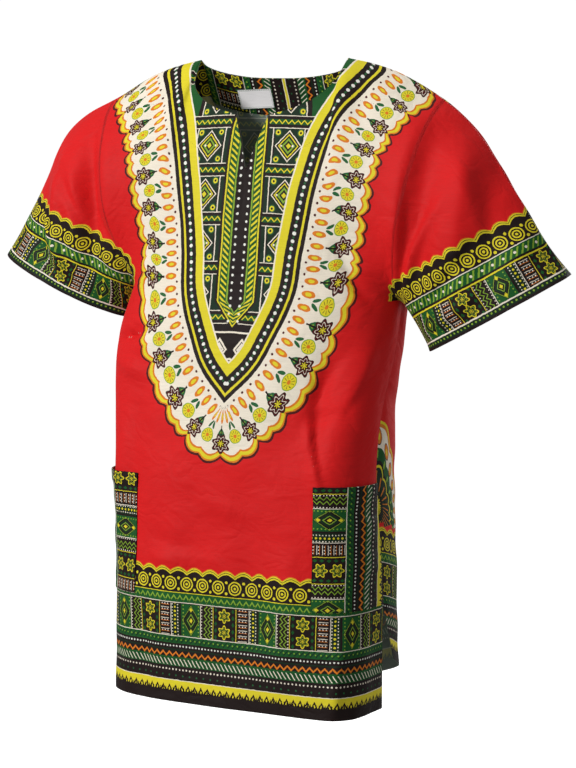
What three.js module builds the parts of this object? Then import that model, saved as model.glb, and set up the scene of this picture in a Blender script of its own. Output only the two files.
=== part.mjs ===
// A short-sleeved dashiki shirt, worn open and hollow, in millimetres.
//
// The front and the back are each cut in one with their half sleeves and meet at a shoulder seam,
// a side seam and an underarm seam, all in the plane y = 0. +Z is up, the front faces -Y, and +X is
// the wearer's left. The origin is midway between the two neck points, where the shoulders hold it.
import * as THREE from "three";

// Driving sizes.
const cloth = 1.5; // wall of every cloth piece
const seamGap = 0.3; // between two pieces
const neckHalf = 101; // centre to neck point
const neckDropFront = 66;
const neckDropBack = 23;
const slitHalf = 22; // half the mouth of the neck slit
const slitBottom = 128; // neck point level to the slit's end
const armholeTop = { x: 222, z: -46 }; // where the sleeve leaves the shoulder
const armpitLevel = -280;
const sleeveDepth = { armhole: 62, cuff: 42 }; // half thickness of the sleeve, front to back
const sideSlit = 125; // height of the open slit at each side of the hem
const slitOpening = 9; // how far each edge of the side slit has swung from the seam at the hem
const backHem = { rise: 56, flare: 6 }; // how far up and out the back's hem hangs at the left slit
const facingRows = 3; // rows of the back's grid that the facing covers
const facingColumns = 9;
const label = { x: -42, half: 23, drop: 36, height: 23, thick: 1.0 };

// The shoulder seam from the neck point, then each arm's overarm seam down to its cuff. hang is how much
// further out the cuff reaches at the front, and less at the back.
const shoulderLine = [
  { x: 101, z: 0 },
  { x: 150, z: -11 },
  { x: 190, z: -28 },
  { x: 222, z: -46 },
];
const arms = {
  left: {
    side: 1,
    overarm: [
      { x: 222, z: -46 },
      { x: 264, z: -80 },
      { x: 295, z: -122 },
      { x: 320, z: -159 },
      { x: 351, z: -205 },
      { x: 383, z: -245 },
    ],
    cuffBottom: { x: 210, z: -337 },
    hang: 8,
  },
  right: {
    side: -1,
    overarm: [
      { x: 222, z: -46 },
      { x: 268, z: -66 },
      { x: 303, z: -98 },
      { x: 323, z: -134 },
      { x: 342, z: -167 },
      { x: 386, z: -240 },
    ],
    cuffBottom: { x: 208, z: -314 },
    hang: 0,
  },
};

// How far the chest and the back stand out from the seam plane, by the drop below the shoulder line
// (as it would be at the middle).
const chest = [
  { drop: 0, front: 0, back: 0 },
  { drop: 24, front: 26, back: 24 },
  { drop: 66, front: 50, back: 42 },
  { drop: 128, front: 65, back: 56 },
  { drop: 200, front: 78, back: 62 },
  { drop: 280, front: 90, back: 62 },
];

// Sections of the body from the armpits down: x of the centre front, half widths to the side seams,
// depth of the front and of the back at the middle, y of each side seam, and how square each corner
// of the front and the whole back are (2 is an ellipse).
const sections = [
  { z: -280, centre: 0, left: 173, right: 183, front: 90, back: 64, seamL: 0, seamR: 0,
    squareL: 2.6, squareR: 2.8, rear: 2.4 },
  { z: -340, centre: -2, left: 173, right: 192, front: 99, back: 66, seamL: -12, seamR: -8,
    squareL: 2.6, squareR: 3.2, rear: 2.5 },
  { z: -410, centre: -4, left: 168, right: 186, front: 110, back: 70, seamL: -33, seamR: -14,
    squareL: 2.6, squareR: 3.4, rear: 2.8 },
  { z: -490, centre: -5, left: 166, right: 178, front: 118, back: 74, seamL: -40, seamR: -20,
    squareL: 2.8, squareR: 3.6, rear: 3.0 },
  { z: -600, centre: -5, left: 168, right: 178, front: 120, back: 70, seamL: -30, seamR: -20,
    squareL: 3.6, squareR: 3.6, rear: 3.0 },
  { z: -700, centre: -5, left: 169, right: 178, front: 123, back: 64, seamL: -24, seamR: -20,
    squareL: 5.0, squareR: 3.6, rear: 2.8 },
  { z: -757, centre: -5, left: 170, right: 177, front: 125, back: 60, seamL: -22, seamR: -20,
    squareL: 7.0, squareR: 3.6, rear: 2.8 },
];
const bodyLength = -sections[sections.length - 1].z; // neck point to hem

// Heights of the grid's rows below the armpits. The pocket's top and bottom edges are rows.
const lowerRows = [-316, -352, -388, -424, -458, -490, -526, -562, -598, -634, -667, -700, -730, -757];
const pocketTop = -490;
const pocketBottom = -634;
const pocketEdge = 121; // centre front to the pocket's inner edge, along the cloth
const pocketColumn = 6; // the column that edge follows

const relaxing = 6; // passes that ease the armhole
const slitColumns = 3; // columns 0 to 3 start on the slit, 3 to 7 on the neckline, the rest on the shoulder
const neckColumns = 7;
const bodyColumns = 11;
const sleeveColumns = 7;
const upperRows = 14;

// Soft ridges (height over 0) and troughs, each along a line from (x1, z1) to (x2, z2) as seen from
// the front.
const foldsFront = [
  { x1: 212, z1: -62, x2: 190, z2: -246, width: 17, height: 6 },
  { x1: 236, z1: -70, x2: 214, z2: -262, width: 18, height: -8 },
  { x1: 268, z1: -104, x2: 240, z2: -270, width: 18, height: 6 },
  { x1: -212, z1: -62, x2: -194, z2: -246, width: 17, height: 6 },
  { x1: -236, z1: -70, x2: -218, z2: -262, width: 18, height: -8 },
  { x1: -266, z1: -100, x2: -246, z2: -266, width: 18, height: 6 },
  { x1: 112, z1: -330, x2: 66, z2: -480, width: 26, height: -5 },
  { x1: 132, z1: -400, x2: 118, z2: -640, width: 22, height: 5 },
  { x1: -150, z1: -352, x2: -96, z2: -322, width: 15, height: 5 },
  { x1: -130, z1: -370, x2: -138, z2: -620, width: 22, height: -4 },
];
const foldsBack = [
  { x1: 210, z1: -66, x2: 188, z2: -246, width: 18, height: 6 },
  { x1: 234, z1: -74, x2: 212, z2: -260, width: 18, height: -7 },
  { x1: -210, z1: -66, x2: -190, z2: -246, width: 18, height: 6 },
  { x1: -234, z1: -74, x2: -216, z2: -258, width: 18, height: -7 },
  { x1: 60, z1: -180, x2: 84, z2: -560, width: 28, height: -7 },
  { x1: -66, z1: -220, x2: -92, z2: -600, width: 28, height: -7 },
  { x1: 4, z1: -300, x2: -8, z2: -740, width: 32, height: 6 },
];

const lerp = THREE.MathUtils.lerp;

// The value of one column of a table at a place along another, on a smooth curve through its rows.
function smooth(table, by, at, of) {
  const sign = Math.sign(table[table.length - 1][by] - table[0][by]);
  let k = 0;
  while (k < table.length - 2 && sign * at > sign * table[k + 1][by]) k++;
  const slope = (i) => {
    const a = table[Math.max(i - 1, 0)];
    const b = table[Math.min(i + 1, table.length - 1)];
    return (b[of] - a[of]) / (b[by] - a[by]);
  };
  const [p, q] = [table[k], table[k + 1]];
  const step = q[by] - p[by];
  const t = THREE.MathUtils.clamp((at - p[by]) / step, 0, 1);
  const t2 = t * t;
  const t3 = t2 * t;
  return (
    (2 * t3 - 3 * t2 + 1) * p[of] +
    (t3 - 2 * t2 + t) * step * slope(k) +
    (3 * t2 - 2 * t3) * q[of] +
    (t3 - t2) * step * slope(k + 1)
  );
}

// The point at a share of the length of a path of (x, z) points.
function along(path, share) {
  const lengths = [0];
  for (let i = 1; i < path.length; i++)
    lengths.push(lengths[i - 1] + Math.hypot(path[i].x - path[i - 1].x, path[i].z - path[i - 1].z));
  const rows = path.map((p, i) => ({ at: lengths[i] / lengths[lengths.length - 1], ...p }));
  return { x: smooth(rows, "at", share, "x"), z: smooth(rows, "at", share, "z") };
}

// Where a body column starts: on the neck slit, on the neckline or on the shoulder seam.
function columnStart(i, panel) {
  if (i > neckColumns) return along(shoulderLine, (i - neckColumns) / (bodyColumns - neckColumns));
  if (panel === "front" && i <= slitColumns) {
    const t = i / slitColumns;
    return { x: slitHalf * t, z: lerp(-slitBottom, -neckDropFront, t) };
  }
  const drop = panel === "front" ? neckDropFront : neckDropBack;
  const from = panel === "front" ? Math.asin(slitHalf / neckHalf) : 0;
  const first = panel === "front" ? slitColumns : 0;
  const angle = lerp(from, Math.PI / 2, (i - first) / (neckColumns - first));
  return { x: neckHalf * Math.sin(angle), z: -drop * Math.cos(angle) ** 0.8 };
}

// The point of a horizontal section where a body column crosses it. The columns are spaced along the
// cloth: evenly to the pocket's inner edge, then evenly to the side seam.
function sectionPoint(z, column, panel, side) {
  const at = (name) => smooth(sections, "z", z, name);
  const seam = at(side > 0 ? "seamL" : "seamR");
  const depth = (panel === "front" ? -at("front") : at("back")) - seam;
  const half = at(side > 0 ? "left" : "right");
  const power = 2 / at(panel === "back" ? "rear" : side > 0 ? "squareL" : "squareR");
  const path = [];
  for (let k = 0; k <= 64; k++) {
    const a = (k / 64) * (Math.PI / 2);
    const out = side * half * Math.sin(a) ** power;
    path.push({ x: at("centre") + out, y: seam + depth * Math.cos(a) ** power });
  }
  const lengths = [0];
  for (let k = 1; k < path.length; k++)
    lengths.push(lengths[k - 1] + Math.hypot(path[k].x - path[k - 1].x, path[k].y - path[k - 1].y));
  const beyond = (column - pocketColumn) / (bodyColumns - pocketColumn);
  const want = beyond < 0 ? (pocketEdge * column) / pocketColumn : lerp(pocketEdge, lengths[64], beyond);
  let k = 0;
  while (k < path.length - 2 && lengths[k + 1] < want) k++;
  const t = (want - lengths[k]) / (lengths[k + 1] - lengths[k]);
  return { x: lerp(path[k].x, path[k + 1].x, t), y: lerp(path[k].y, path[k + 1].y, t) };
}

// How far the chest or back stands out at a place seen from the front, between the neck and the armpits.
function chestDepth(x, z, panel, side) {
  const across = Math.abs(x);
  const top = across > neckHalf ? smooth(shoulderLine, "x", Math.min(across, armholeTop.x), "z") : 0;
  const t = THREE.MathUtils.clamp((armholeTop.z - z) / (armholeTop.z - armpitLevel), 0, 1);
  const u = Math.min(across / lerp(armholeTop.x, sections[0][side > 0 ? "left" : "right"], t), 1);
  const square = sections[0][panel === "back" ? "rear" : side > 0 ? "squareL" : "squareR"];
  const low = THREE.MathUtils.smoothstep(t, 0.55, 1);
  const body = (1 - u ** square) ** lerp(1, 1 / square, low);
  const arm = u ** (square * (1 + 5 * low));
  const drop = (Math.max(top - z, 0) / (top - armpitLevel)) * -armpitLevel;
  const armDepth = sleeveDepth.armhole * Math.sqrt(4 * t * (1 - t));
  return smooth(chest, "drop", drop, panel) * body + armDepth * arm;
}

// One panel's outer surface as a grid: points[column][row], columns from the right cuff to the left.
// Rows past upperRows exist only in the body columns.
function panelGrid(panel) {
  const sign = panel === "front" ? -1 : 1;
  const rows = upperRows + lowerRows.length;
  const columns = [];
  for (const arm of [arms.right, arms.left]) {
    const half = [];
    for (let i = 0; i <= bodyColumns + sleeveColumns; i++) {
      const column = [];
      const inSleeve = i > bodyColumns;
      const reach = (i - bodyColumns) / sleeveColumns;
      const start = inSleeve ? along(arm.overarm, reach) : columnStart(i, panel);
      const armpit = { x: sections[0][arm.side > 0 ? "left" : "right"], z: armpitLevel };
      const end = inSleeve
        ? { x: lerp(armpit.x, arm.cuffBottom.x, reach), z: lerp(armpit.z, arm.cuffBottom.z, reach) }
        : { x: arm.side * sectionPoint(armpitLevel, i, panel, arm.side).x, z: armpitLevel };
      const width = Math.hypot(start.x - end.x, start.z - end.z);
      const hang = inSleeve ? (-sign * arm.hang * reach ** 2) / width : 0;
      for (let j = 0; j <= (inSleeve ? upperRows : rows); j++) {
        if (j <= upperRows) {
          const angle = (j / upperRows) * Math.PI;
          const even = 1 - Math.min(i / bodyColumns, 1) ** 3;
          const t = lerp((1 - Math.cos(angle)) / 2, (j / upperRows) ** 1.15, even);
          const out = hang * Math.sin(angle);
          const x = arm.side * (lerp(start.x, end.x, t) + out * (start.z - end.z));
          const z = lerp(start.z, end.z, t) - out * (start.x - end.x);
          const depth = inSleeve
            ? lerp(sleeveDepth.armhole, sleeveDepth.cuff, reach) * Math.sin(angle)
            : chestDepth(x, z, panel, arm.side);
          column.push(new THREE.Vector3(x, sign * (depth + seamGap / 2), z));
        } else {
          const z = lowerRows[j - upperRows - 1];
          const p = sectionPoint(z, i, panel, arm.side);
          const slit = THREE.MathUtils.clamp((-z - (bodyLength - sideSlit)) / sideSlit, 0, 1);
          const corner = slit * (i / bodyColumns) ** 6;
          const hung = panel === "back" && arm.side > 0 ? 1 : 0;
          const x = p.x + hung * backHem.flare * corner;
          const y = p.y + sign * (seamGap / 2 + slitOpening * corner);
          const rise = hung * backHem.rise * slit * (i / bodyColumns) ** 1.5;
          column.push(new THREE.Vector3(x, y, z + rise));
        }
      }
      half.push(column);
    }
    if (arm.side < 0) columns.push(...half.slice(1).reverse());
    else columns.push(...half);
  }
  return columns;
}

// Whether a row of a column lies on a seam with the other panel.
function onSeam(c, j) {
  const i = Math.abs(c - (bodyColumns + sleeveColumns));
  if (i >= bodyColumns && (j === 0 || j === upperRows)) return true;
  return (i >= neckColumns && j === 0) || (i === bodyColumns && j > upperRows);
}

// Eases the depth of the upper rows towards their neighbours', the nearer ones weighing more, so that
// the body runs softly into the arm.
function relax(columns) {
  for (let pass = 0; pass < relaxing; pass++) {
    const before = columns.map((column) => column.map((p) => p.clone()));
    for (let c = 1; c < columns.length - 1; c++)
      for (let j = 1; j < upperRows; j++) {
        if (onSeam(c, j)) continue;
        const p = before[c][j];
        const near = [before[c - 1][j], before[c + 1][j], before[c][j - 1], before[c][j + 1]];
        const weights = near.map((q) => 1 / Math.hypot(q.x - p.x, q.z - p.z));
        const total = weights.reduce((sum, w) => sum + w, 0);
        const mean = near.reduce((sum, q, k) => sum + q.y * weights[k], 0) / total;
        columns[c][j].y = lerp(p.y, mean, 0.6);
      }
  }
}

// Outward normals of a grid, kept in the seam plane along the seams.
function gridNormals(columns, panel) {
  const sign = panel === "front" ? 1 : -1;
  return columns.map((column, c) =>
    column.map((p, j) => {
      const pick = (cc, jj) => (columns[cc] && columns[cc][jj] ? columns[cc][jj] : p);
      const across = pick(c + 1, j).clone().sub(pick(c - 1, j));
      const down = pick(c, j + 1).clone().sub(pick(c, j - 1));
      const n = down.cross(across).multiplyScalar(sign).normalize();
      if (onSeam(c, j)) n.setY(0).normalize();
      return n;
    }),
  );
}

// 0 on a seam, rising to 1 over the next two rows or columns of the grid.
function seamFade(c, j) {
  const i = Math.abs(c - (bodyColumns + sleeveColumns));
  const toShoulder = i >= neckColumns ? j : 2;
  const toUnderarm = i > bodyColumns ? upperRows - j : 2;
  const toSide = i <= bodyColumns && j >= upperRows ? bodyColumns - i : 2;
  return THREE.MathUtils.clamp(Math.min(toShoulder, toUnderarm, toSide) / 2, 0, 1);
}

// The height of the folds at a place seen from the front.
function foldHeight(p, folds) {
  let sum = 0;
  for (const f of folds) {
    const dx = f.x2 - f.x1;
    const dz = f.z2 - f.z1;
    const length = Math.hypot(dx, dz);
    const t = ((p.x - f.x1) * dx + (p.z - f.z1) * dz) / length ** 2;
    const off = ((p.x - f.x1) * dz - (p.z - f.z1) * dx) / length;
    if (t < 0 || t > 1) continue;
    sum += f.height * Math.sin(Math.PI * t) * Math.exp(-((off / f.width) ** 2));
  }
  return sum;
}

// A closed wall between two layers of the same grid. cells lists [column, row] of each quad.
function wall(outer, inner, cells, panel) {
  const index = new Map();
  const positions = [];
  const at = (c, j, layer) => {
    const key = c * 1000 + j * 2 + layer;
    if (!index.has(key)) {
      index.set(key, positions.length / 3);
      positions.push(...(layer ? inner : outer)[c][j].toArray());
    }
    return index.get(key);
  };
  const triangles = [];
  const quad = (a, b, c, d) => triangles.push(a, b, c, a, c, d);
  const has = new Set(cells.map(([c, j]) => c + "," + j));
  const flip = panel === "front";
  for (const [c, j] of cells) {
    const corners = [[c, j], [c, j + 1], [c + 1, j + 1], [c + 1, j]];
    if (!flip) corners.reverse();
    const [p, q, r, s] = corners;
    quad(at(...p, 0), at(...q, 0), at(...r, 0), at(...s, 0));
    quad(at(...p, 1), at(...s, 1), at(...r, 1), at(...q, 1));
    corners.forEach((from, k) => {
      const to = corners[(k + 1) % 4];
      const level = from[0] === to[0];
      const other = level
        ? [from[0] === c ? c - 1 : c + 1, j]
        : [c, from[1] === j ? j - 1 : j + 1];
      if (has.has(other.join(","))) return;
      quad(at(...to, 0), at(...from, 0), at(...from, 1), at(...to, 1));
    });
  }
  const geometry = new THREE.BufferGeometry();
  geometry.setAttribute("position", new THREE.Float32BufferAttribute(positions, 3));
  geometry.setIndex(triangles);
  geometry.computeVertexNormals();
  return geometry;
}

// A grid moved along its normals.
function moved(columns, normals, by) {
  return columns.map((column, c) => column.map((p, j) => p.clone().addScaledVector(normals[c][j], by)));
}

const colours = {
  red: 0xc81818,
  green: 0x1d5a2c,
  facing: 0x7a8078,
  white: 0xf0eeee,
};
const material = (color) => new THREE.MeshStandardMaterial({ color, roughness: 0.85, metalness: 0 });

const shirt = new THREE.Group();
function piece(name, geometry, color) {
  const mesh = new THREE.Mesh(geometry, material(color));
  mesh.name = name;
  shirt.add(mesh);
}

const middle = bodyColumns + sleeveColumns;
for (const panel of ["front", "back"]) {
  const plain = panelGrid(panel);
  relax(plain);
  const plainNormals = gridNormals(plain, panel);
  const folds = panel === "front" ? foldsFront : foldsBack;
  const surface = plain.map((column, c) =>
    column.map((p, j) => {
      const height = seamFade(c, j) * foldHeight(p, folds);
      return p.clone().addScaledVector(plainNormals[c][j], height);
    }),
  );
  const normals = gridNormals(surface, panel);
  const cells = [];
  for (let c = 0; c < surface.length - 1; c++)
    for (let j = 0; j < Math.min(surface[c].length, surface[c + 1].length) - 1; j++) cells.push([c, j]);
  piece(panel, wall(surface, moved(surface, normals, -cloth), cells, panel), colours.red);

  const facingCells = cells.filter(
    ([c, j]) => c >= middle - facingColumns && c < middle + facingColumns && j < facingRows,
  );
  const facingOut = moved(surface, normals, -cloth - seamGap);
  const facingIn = moved(surface, normals, -2 * cloth - seamGap);
  const facing = wall(facingOut, facingIn, facingCells, panel);
  if (panel === "back") piece("back_neck_facing", facing, colours.facing);

  if (panel === "front") {
    const firstRow = upperRows + 1 + lowerRows.indexOf(pocketTop);
    const lastRow = upperRows + 1 + lowerRows.indexOf(pocketBottom);
    for (const [name, from, to] of [
      ["pocket_right", middle - bodyColumns, middle - pocketColumn],
      ["pocket_left", middle + pocketColumn, middle + bodyColumns],
    ]) {
      const pocketCells = cells.filter(([c, j]) => c >= from && c < to && j >= firstRow && j < lastRow);
      const outside = moved(surface, normals, seamGap + cloth);
      const inside = moved(surface, normals, seamGap);
      piece(name, wall(outside, inside, pocketCells, panel), colours.green);
    }
  } else {
    // The neck label lies on the back facing. Its points are found on the outer surface by their x and z.
    const onBack = (x, z, depth) => {
      const side = Math.sign(x);
      let c = middle;
      while (Math.abs(surface[c + side][1].x) < Math.abs(x)) c += side;
      const share = (column) => {
        let j = 0;
        while (surface[column][j + 1].z > z) j++;
        return j + (z - surface[column][j].z) / (surface[column][j + 1].z - surface[column][j].z);
      };
      const at = (column, grid, key) => {
        const j = Math.floor(share(column));
        return lerp(grid[column][j][key], grid[column][j + 1][key], share(column) - j);
      };
      const [x1, x2] = [at(c, surface, "x"), at(c + side, surface, "x")];
      const u = (x - x1) / (x2 - x1);
      const y = lerp(at(c, surface, "y"), at(c + side, surface, "y"), u);
      const ny = lerp(at(c, normals, "y"), at(c + side, normals, "y"), u);
      return new THREE.Vector3(x, y - depth / ny, z);
    };
    const labelGrid = (depth) =>
      [-1, -0.5, 0, 0.5, 1].map((s) =>
        [0, 0.5, 1].map((t) => onBack(label.x + label.half * s, -label.drop - label.height * t, depth)),
      );
    const inset = 2 * cloth + 4 * seamGap;
    const labelCells = [0, 1, 2, 3].flatMap((c) => [[c, 0], [c, 1]]);
    const labelWall = wall(labelGrid(inset), labelGrid(inset + label.thick), labelCells, "back");
    piece("label", labelWall, colours.white);
  }
}

export default shirt;
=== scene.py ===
import bpy
import mathutils
import numpy as np
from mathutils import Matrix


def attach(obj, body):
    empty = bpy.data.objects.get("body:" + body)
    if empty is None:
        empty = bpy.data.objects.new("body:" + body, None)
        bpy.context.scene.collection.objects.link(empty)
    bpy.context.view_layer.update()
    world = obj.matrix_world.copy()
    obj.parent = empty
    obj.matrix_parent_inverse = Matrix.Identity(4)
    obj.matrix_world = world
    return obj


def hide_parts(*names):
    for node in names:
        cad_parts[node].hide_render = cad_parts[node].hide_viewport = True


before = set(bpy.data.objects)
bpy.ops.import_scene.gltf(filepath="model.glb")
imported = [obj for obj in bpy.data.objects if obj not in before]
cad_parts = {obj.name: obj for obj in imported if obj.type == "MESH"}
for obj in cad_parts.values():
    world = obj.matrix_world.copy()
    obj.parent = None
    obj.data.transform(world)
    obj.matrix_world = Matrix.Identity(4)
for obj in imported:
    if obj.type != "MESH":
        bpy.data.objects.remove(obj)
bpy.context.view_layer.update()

# A short-sleeved cotton dashiki shirt, filled out as if worn, in metres. The front faces -Y, +X is
# the wearer's left, and the origin is midway between the two neck points.

mm = 0.001


# ---- numbers and curves

def cubic(t, a, b, slopeA, slopeB):
    # a at t = 0 and b at t = 1, with those slopes at its ends
    return ((2 * t**3 - 3 * t**2 + 1) * a + (t**3 - 2 * t**2 + t) * slopeA
            + (3 * t**2 - 2 * t**3) * b + (t**3 - t**2) * slopeB)


def smoothRows(rows, by, of, at):
    # cubic through the rows of a table: the slope at a row is the rise over the run of its neighbours
    knots = np.array([row[by] for row in rows], float)
    values = np.array([row[of] for row in rows], float)
    if knots[-1] < knots[0]:
        knots, values = knots[::-1], values[::-1]
    last = len(knots) - 1
    ahead = np.minimum(np.arange(last + 1) + 1, last)
    behind = np.maximum(np.arange(last + 1) - 1, 0)
    slope = (values[ahead] - values[behind]) / (knots[ahead] - knots[behind])
    at = np.asarray(at, float)
    k = np.clip(np.searchsorted(knots, at, side="right") - 1, 0, last - 1)
    step = knots[k + 1] - knots[k]
    t = np.clip((at - knots[k]) / step, 0, 1)
    return cubic(t, values[k], values[k + 1], step * slope[k], step * slope[k + 1])


def smoothStep(x, low, high):
    # 0 below low, 1 above high, and 3t^2 - 2t^3 between
    t = np.clip((x - low) / (high - low), 0, 1)
    return t * t * (3 - 2 * t)


def mix(a, b, t):
    # a at t = 0, b at t = 1
    return a + (b - a) * t


def runLength(points):
    # length along a path up to each point, along the first axis
    steps = np.linalg.norm(np.diff(points, axis=0), axis=-1)
    return np.concatenate([np.zeros((1,) + steps.shape[1:]), np.cumsum(steps, axis=0)])


def along(path, share):
    # x and z at a share of a path's length, on a smooth curve through its points
    points = np.array([[p["x"], p["z"]] for p in path], float)
    lengths = runLength(points)
    rows = [{"at": s / lengths[-1], **p} for s, p in zip(lengths, path)]
    return smoothRows(rows, "at", "x", share), smoothRows(rows, "at", "z", share)


def table(columns, rows):
    # each row as a dictionary, by the columns' names
    return [dict(zip(columns.split(), row)) for row in rows]


def unit(v):
    return v / np.maximum(np.linalg.norm(v, axis=-1, keepdims=True), 1e-9)


# ---- the shirt's form, in millimetres, the same as the construction's

form = {
    "gap": 0.3,
    "neckHalf": 101, "neckDropFront": 66, "neckDropBack": 23, "slitHalf": 22, "slitBottom": 128,
    "armholeX": 222, "armholeZ": -46, "armpit": -280, "armDepth": 62, "cuffDepth": 42,
    "cuffHangLeft": 8, "cuffHangRight": 0,
    "sideSlit": 125, "slitOpening": 9, "backRise": 56, "backFlare": 6, "relaxing": 6,
    "slitColumns": 3, "neckColumns": 7, "bodyColumns": 11, "sleeveColumns": 7, "upperRows": 14,
    "pocketEdge": 121, "pocketColumn": 6, "pocketTop": -490, "pocketBottom": -634,
    "facingRows": 3, "facingColumns": 9,
    "lowerRows": [-316, -352, -388, -424, -458, -490, -526, -562, -598, -634, -667, -700, -730, -757],
    "shoulder": table("x z", [
        (101, 0),
        (150, -11),
        (190, -28),
        (222, -46),
    ]),
    "overarmLeft": table("x z", [
        (222, -46),
        (264, -80),
        (295, -122),
        (320, -159),
        (351, -205),
        (383, -245),
    ]),
    "overarmRight": table("x z", [
        (222, -46),
        (268, -66),
        (303, -98),
        (323, -134),
        (342, -167),
        (386, -240),
    ]),
    "cuffBottomLeft": {"x": 210, "z": -337},
    "cuffBottomRight": {"x": 208, "z": -314},
    "chest": table("drop front back", [
        (0, 0, 0),
        (24, 26, 24),
        (66, 50, 42),
        (128, 65, 56),
        (200, 78, 62),
        (280, 90, 62),
    ]),
    "sections": table("z centre left right front back seamLeft seamRight squareLeft squareRight rear", [
        (-280, 0, 173, 183, 90, 64, 0, 0, 2.6, 2.8, 2.4),
        (-340, -2, 173, 192, 99, 66, -12, -8, 2.6, 3.2, 2.5),
        (-410, -4, 168, 186, 110, 70, -33, -14, 2.6, 3.4, 2.8),
        (-490, -5, 166, 178, 118, 74, -40, -20, 2.8, 3.6, 3),
        (-600, -5, 168, 178, 120, 70, -30, -20, 3.6, 3.6, 3),
        (-700, -5, 169, 178, 123, 64, -24, -20, 5, 3.6, 2.8),
        (-757, -5, 170, 177, 125, 60, -22, -20, 7, 3.6, 2.8),
    ]),
}
middle = form["bodyColumns"] + form["sleeveColumns"]
upperRows = form["upperRows"]
fineness = 6  # fine columns and rows for each of the form's


def columnStart(i, panel):
    # x, z where a body column starts: on the slit, then the neck's arc, then the shoulder seam
    front = panel == "front"
    first = form["slitColumns"] if front else 0
    low = np.arcsin(form["slitHalf"] / form["neckHalf"]) if front else 0.0
    drop = form["neckDropFront"] if front else form["neckDropBack"]
    angle = mix(low, np.pi / 2, np.clip((i - first) / (form["neckColumns"] - first), 0, 1))
    x = form["neckHalf"] * np.sin(angle)
    z = -drop * np.maximum(np.cos(angle), 0) ** 0.8
    onShoulder = np.clip((i - form["neckColumns"]) / (form["bodyColumns"] - form["neckColumns"]), 0, 1)
    shoulderX, shoulderZ = along(form["shoulder"], onShoulder)
    x = np.where(i > form["neckColumns"], shoulderX, x)
    z = np.where(i > form["neckColumns"], shoulderZ, z)
    if front:
        t = i / form["slitColumns"]
        x = np.where(t <= 1, form["slitHalf"] * t, x)
        z = np.where(t <= 1, mix(-form["slitBottom"], -form["neckDropFront"], t), z)
    return x, z


def sectionPoints(z, panel, side):
    # quarter of a superellipse at height z, sampled where the body columns cross it along the cloth:
    # x = centre + half sin(a)^p, y = seam + depth cos(a)^p, with p = 2 / squareness
    word = "Left" if side > 0 else "Right"
    at = {name: smoothRows(form["sections"], "z", name, z) for name in form["sections"][0]}
    seam = at["seam" + word]
    depth = (-at["front"] if panel == "front" else at["back"]) - seam
    power = 2 / (at["rear"] if panel == "back" else at["square" + word])
    a = np.linspace(0, np.pi / 2, 65)
    x = at["centre"] + side * at["left" if side > 0 else "right"] * np.sin(a) ** power
    y = seam + depth * np.maximum(np.cos(a), 0) ** power
    lengths = runLength(np.stack([x, y], -1))
    i = np.arange(form["bodyColumns"] + 1)
    beyond = (i - form["pocketColumn"]) / (form["bodyColumns"] - form["pocketColumn"])
    inner = form["pocketEdge"] * i / form["pocketColumn"]
    want = np.where(beyond < 0, inner, mix(form["pocketEdge"], lengths[-1], beyond))
    return np.interp(want, lengths, x), np.interp(want, lengths, y)


def chestDepth(x, z, panel, side):
    # depth = chest(drop) * (1 - u^n)^k + arm sqrt(4t(1 - t)) u^m, u across to the armhole, t down it
    across = np.abs(x)
    top = smoothRows(form["shoulder"], "x", "z", np.minimum(across, form["armholeX"]))
    top = np.where(across > form["neckHalf"], top, 0)
    t = np.clip((form["armholeZ"] - z) / (form["armholeZ"] - form["armpit"]), 0, 1)
    section = form["sections"][0]
    u = np.minimum(across / mix(form["armholeX"], section["left" if side > 0 else "right"], t), 1)
    square = section["rear" if panel == "back" else "squareLeft" if side > 0 else "squareRight"]
    low = smoothStep(t, 0.55, 1)
    body = (1 - u**square) ** mix(1, 1 / square, low)
    arm = u ** (square * (1 + 5 * low))
    drop = np.maximum(top - z, 0) / (top - form["armpit"]) * -form["armpit"]
    return (smoothRows(form["chest"], "drop", panel, drop) * body
            + form["armDepth"] * np.sqrt(4 * t * (1 - t)) * arm)


def gridSteps(shape, fine=1):
    # columns out from the middle and rows down, counted in the form's own columns and rows
    i = np.abs(np.arange(shape[0]) / fine - middle)[:, None]
    return i, (np.arange(shape[1]) / fine)[None, :]


def onSeam(shape, fine=1):
    # 1 where a point lies on a seam with the other panel: shoulder and overarm, underarm, side
    i, j = gridSteps(shape, fine)
    body, neck = form["bodyColumns"], form["neckColumns"]
    return ((i >= neck) & (j == 0)) | ((i >= body) & (j == upperRows)) | ((i == body) & (j > upperRows))


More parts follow.
